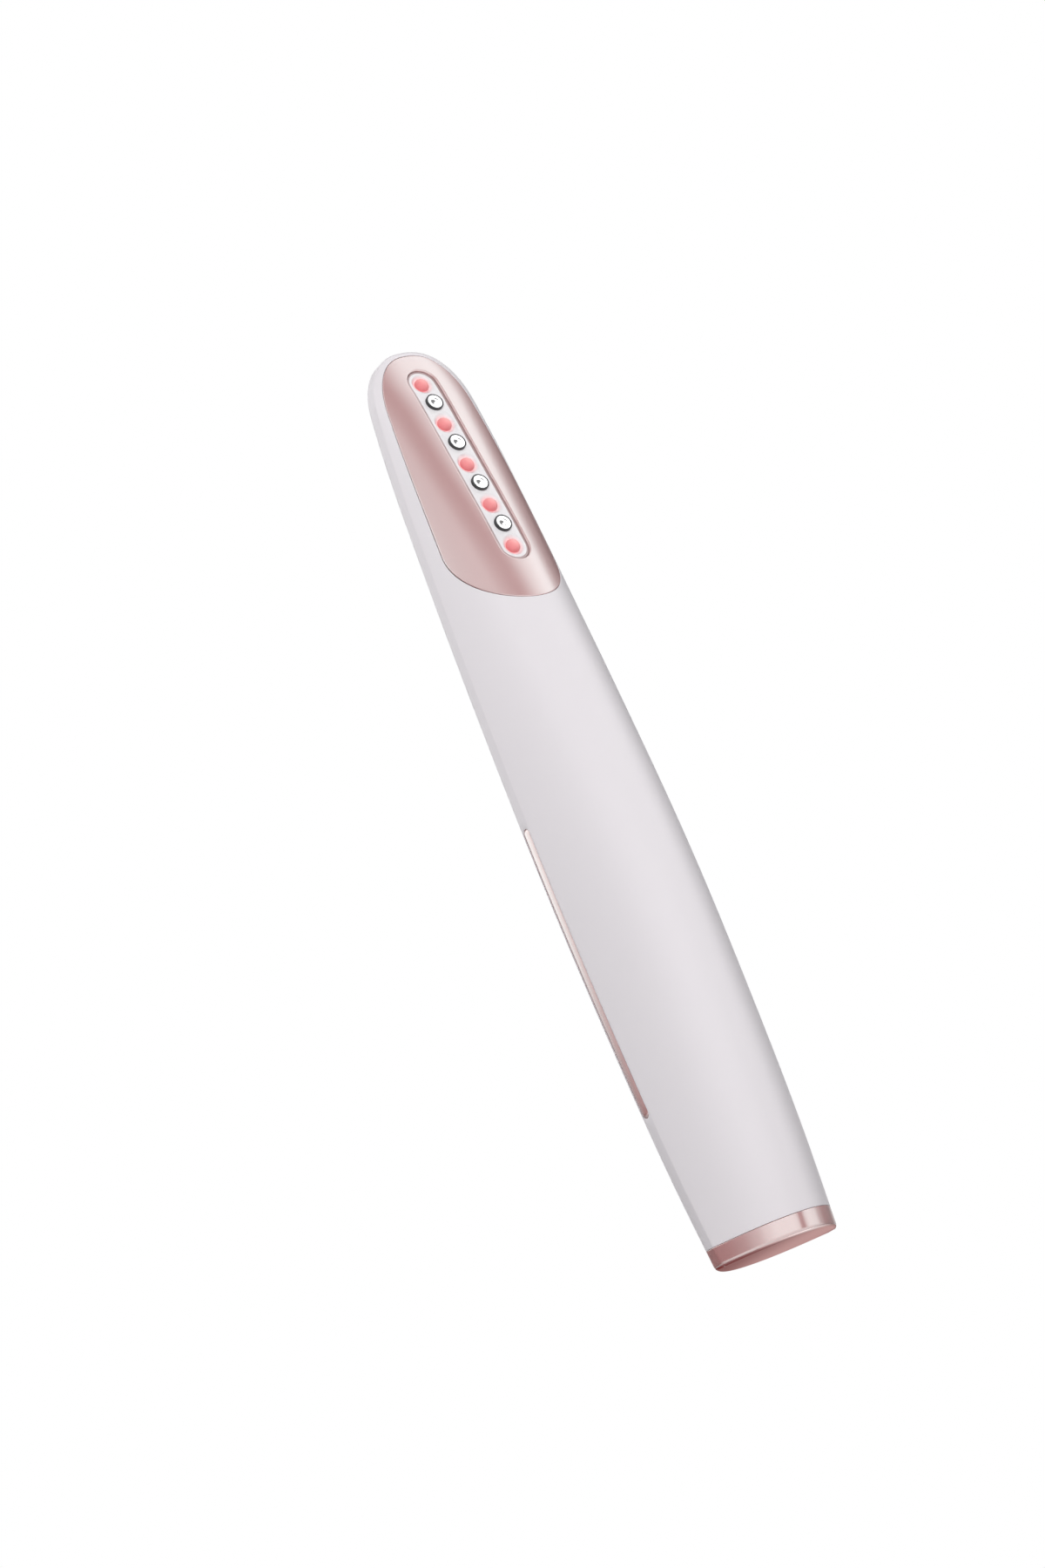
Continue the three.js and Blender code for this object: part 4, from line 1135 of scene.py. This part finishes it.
# Charging studs
# Two turned metal studs in pale moulded rings on the rear, which feed the cell. A magnet between them,
# inside the wand, holds the charging lead on.
stud_radius = 1.1
stud_proud = 0.35
stud_edge = 0.12
stud_depth = 1.5
hollow_radius = 0.5
hollow_edge, hollow_middle = 0.02, 0.03
bezel_radius = 1.8
bezel_edge = 0.08
bezel_inner = 1.18
bezel_round = 0.1
bezel_sunk = 0.3
bezel_slope = [(1.45, -0.14), (1.65, 0.0)]
bezel_depth = 1.2
stud_profile = [(0, -stud_depth), (stud_radius, -stud_depth)]
stud_profile += arc((stud_radius - stud_edge, stud_proud - stud_edge), stud_edge, 0, 90, 4)
stud_profile += [(hollow_radius, stud_proud - hollow_edge), (0, stud_proud - hollow_middle)]
bezel_profile = [(bezel_inner, -bezel_depth)]
bezel_profile += arc((bezel_inner + bezel_round, -bezel_sunk), bezel_round, 180, 90, 3)
bezel_profile += bezel_slope + arc((bezel_radius - bezel_edge, -bezel_edge), bezel_edge, 90, 0, 3)
bezel_profile += [(bezel_radius, -bezel_depth), (bezel_inner, -bezel_depth)]
gunmetal = Finish("gunmetal")
gunmetal.shade(
    Base_Color=gunmetal.mottle(500.0, (0.14, 0.135, 0.145, 1), (0.18, 0.175, 0.185, 1)),
    Metallic=1.0,
    Roughness=gunmetal.vary(0.28, 0.08, 900.0),
)
pale = Finish("pale_ring")
pale.shade(
    Base_Color=pale.mottle(600.0, (0.68, 0.65, 0.67, 1), (0.72, 0.69, 0.71, 1)),
    Roughness=0.35,
    Normal=pale.bumps(2600.0, 0.00001, 0.4),
)
for number, z in enumerate((high_stud, low_stud), 1):
    stud = spun(stud_profile, on_centre(z, 1), f"charge_stud_{number}")
    stud.data.materials.append(gunmetal.owner)
    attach(stud, "wand_body")
    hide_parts(f"charge_stud_{number}")
    bezel = spun(bezel_profile, on_centre(z, 1), f"charge_bezel_{number}")
    bezel.data.materials.append(pale.owner)
    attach(bezel, "wand_body")
    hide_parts(f"charge_bezel_{number}")


# Inner frame
# The grey moulded frame that carries everything inside, with its plungers and the stud carrier. Steel
# screws hold it, a rubber ring seals the foot and a magnet between the studs holds the charging lead.
def coat(finish, *names):
    """Gives its finish to CAD pieces that stay as they are."""
    for name in names:
        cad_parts[name].material_slots[0].material = finish.owner


moulded = Finish("inner_plastic")
moulded.shade(
    Base_Color=moulded.mottle(350.0, (0.46, 0.46, 0.47, 1), (0.52, 0.52, 0.53, 1)),
    Roughness=moulded.vary(0.5, 0.1, 900.0),
    Normal=moulded.bumps(2200.0, 0.00002, 0.4),
)
coat(moulded, "chassis", "stud_carrier", "left_plunger", "right_plunger")
steel = Finish("steel")
steel.shade(
    Base_Color=steel.mottle(500.0, (0.60, 0.60, 0.61, 1), (0.68, 0.68, 0.69, 1)),
    Metallic=1.0,
    Roughness=steel.vary(0.3, 0.1, 1200.0),
)
coat(steel, "chassis_screw_1", "chassis_screw_2", "board_screw_1", "board_screw_2", "charge_magnet")
coat(rubber, "cap_seal")

# Circuit boards
# The main board on the frame and the narrow light board under the window, with their chips, the coil that
# raises the voltage, the two switches, and the brass pieces that lead to the contacts and studs.
board = Finish("circuit_board")
track_inputs = {
    "Vector": board.place(),
    "Scale": 260.0,
    "Mortar Size": 0.03,
    "Color1": white,
    "Color2": (0.9, 0.9, 0.9, 1),
}
tracks = board.node("ShaderNodeTexBrick", {"offset": 0.5}, track_inputs)
board.shade(
    Base_Color=board.blend(tracks, (0.05, 0.22, 0.12, 1), (0.02, 0.13, 0.07, 1)),
    Roughness=0.35,
    Coat_Weight=0.3,
    Normal=board.relief(tracks, 0.00003, 0.4),
)
coat(board, "main_board", "light_board")
resin = Finish("chip")
resin.shade(
    Base_Color=resin.mottle(700.0, (0.018, 0.018, 0.02, 1), (0.035, 0.035, 0.038, 1)),
    Roughness=0.5,
    Normal=resin.bumps(2600.0, 0.00001, 0.4),
)
coat(resin, "microcontroller", "charge_chip", "left_switch", "right_switch")
diode = Finish("diode")
diode.shade(
    Base_Color=diode.mottle(900.0, (0.80, 0.66, 0.30, 1), (0.86, 0.74, 0.40, 1)),
    Roughness=0.3,
    Coat_Weight=0.5,
)
coat(diode, *[f"light_chip_{number + 1}" for number in range(light_count)])
ferrite = Finish("ferrite")
ferrite.shade(
    Base_Color=ferrite.mottle(800.0, (0.05, 0.048, 0.046, 1), (0.10, 0.097, 0.094, 1), 6.0),
    Roughness=0.7,
    Normal=ferrite.bumps(2400.0, 0.00002, 0.6, 6.0),
)
coat(ferrite, "voltage_coil")
brass = Finish("spring_brass")
brass.shade(
    Base_Color=brass.mottle(400.0, (0.76, 0.58, 0.27, 1), (0.82, 0.65, 0.33, 1)),
    Metallic=1.0,
    Roughness=brass.vary(0.26, 0.08, 1200.0),
)
coat(brass, "contact_strip", "spring_pin_1", "spring_pin_2")

# Cell and motor
# The foil-wrapped lithium cell on its foam pad, and the small shaking motor in a rubber sleeve: a drawn
# steel can, a ground shaft and an off-centre weight of heavy sintered metal.
foil = Finish("cell_foil")
foil.shade(
    Base_Color=foil.mottle(120.0, (0.66, 0.67, 0.69, 1), (0.74, 0.75, 0.77, 1)),
    Metallic=0.85,
    Roughness=foil.vary(0.36, 0.1, 300.0),
    Normal=foil.bumps(160.0, 0.00006, 0.5, 4.0),
)
coat(foil, "lithium_cell")
foam = Finish("foam")
pores = foam.node("ShaderNodeTexVoronoi", {}, {"Vector": foam.place(), "Scale": 2200.0})
foam.shade(
    Base_Color=foam.blend(pores, (0.03, 0.03, 0.03, 1), (0.09, 0.09, 0.092, 1)),
    Roughness=0.9,
    Normal=foam.relief(pores, 0.00006, 0.7),
)
coat(foam, "foam_pad")
coat(rubber, "motor_sleeve")
coat(steel, "motor_can", "motor_shaft")
coat(gunmetal, "motor_weight")

# Leads
# The red and black leads of the cell and the motor, in soft sleeves, and the flat ribbon that runs from
# the main board up to the light board.
sleeve_tones = {
    "red": ((0.42, 0.02, 0.02, 1), (0.55, 0.04, 0.03, 1)),
    "black": ((0.014, 0.014, 0.014, 1), (0.03, 0.03, 0.03, 1)),
}
for colour, (dark, light) in sleeve_tones.items():
    sleeve = Finish(f"lead_{colour}")
    sleeve.shade(
        Base_Color=sleeve.mottle(500.0, dark, light),
        Roughness=0.42,
        Normal=sleeve.bumps(1500.0, 0.00001, 0.3),
    )
    coat(sleeve, f"battery_lead_{colour}", f"motor_lead_{colour}")
ribbon = Finish("ribbon")
cores = ribbon.node("ShaderNodeTexWave", {"bands_direction": "X"}, {"Vector": ribbon.place(), "Scale": 320.0})
ribbon.shade(
    Base_Color=ribbon.blend(cores, (0.55, 0.26, 0.06, 1), (0.72, 0.40, 0.12, 1)),
    Roughness=0.35,
    Normal=ribbon.relief(cores, 0.00003, 0.4),
)
coat(ribbon, "ribbon_cable")

bpy.context.scene.view_settings.view_transform = "Standard"
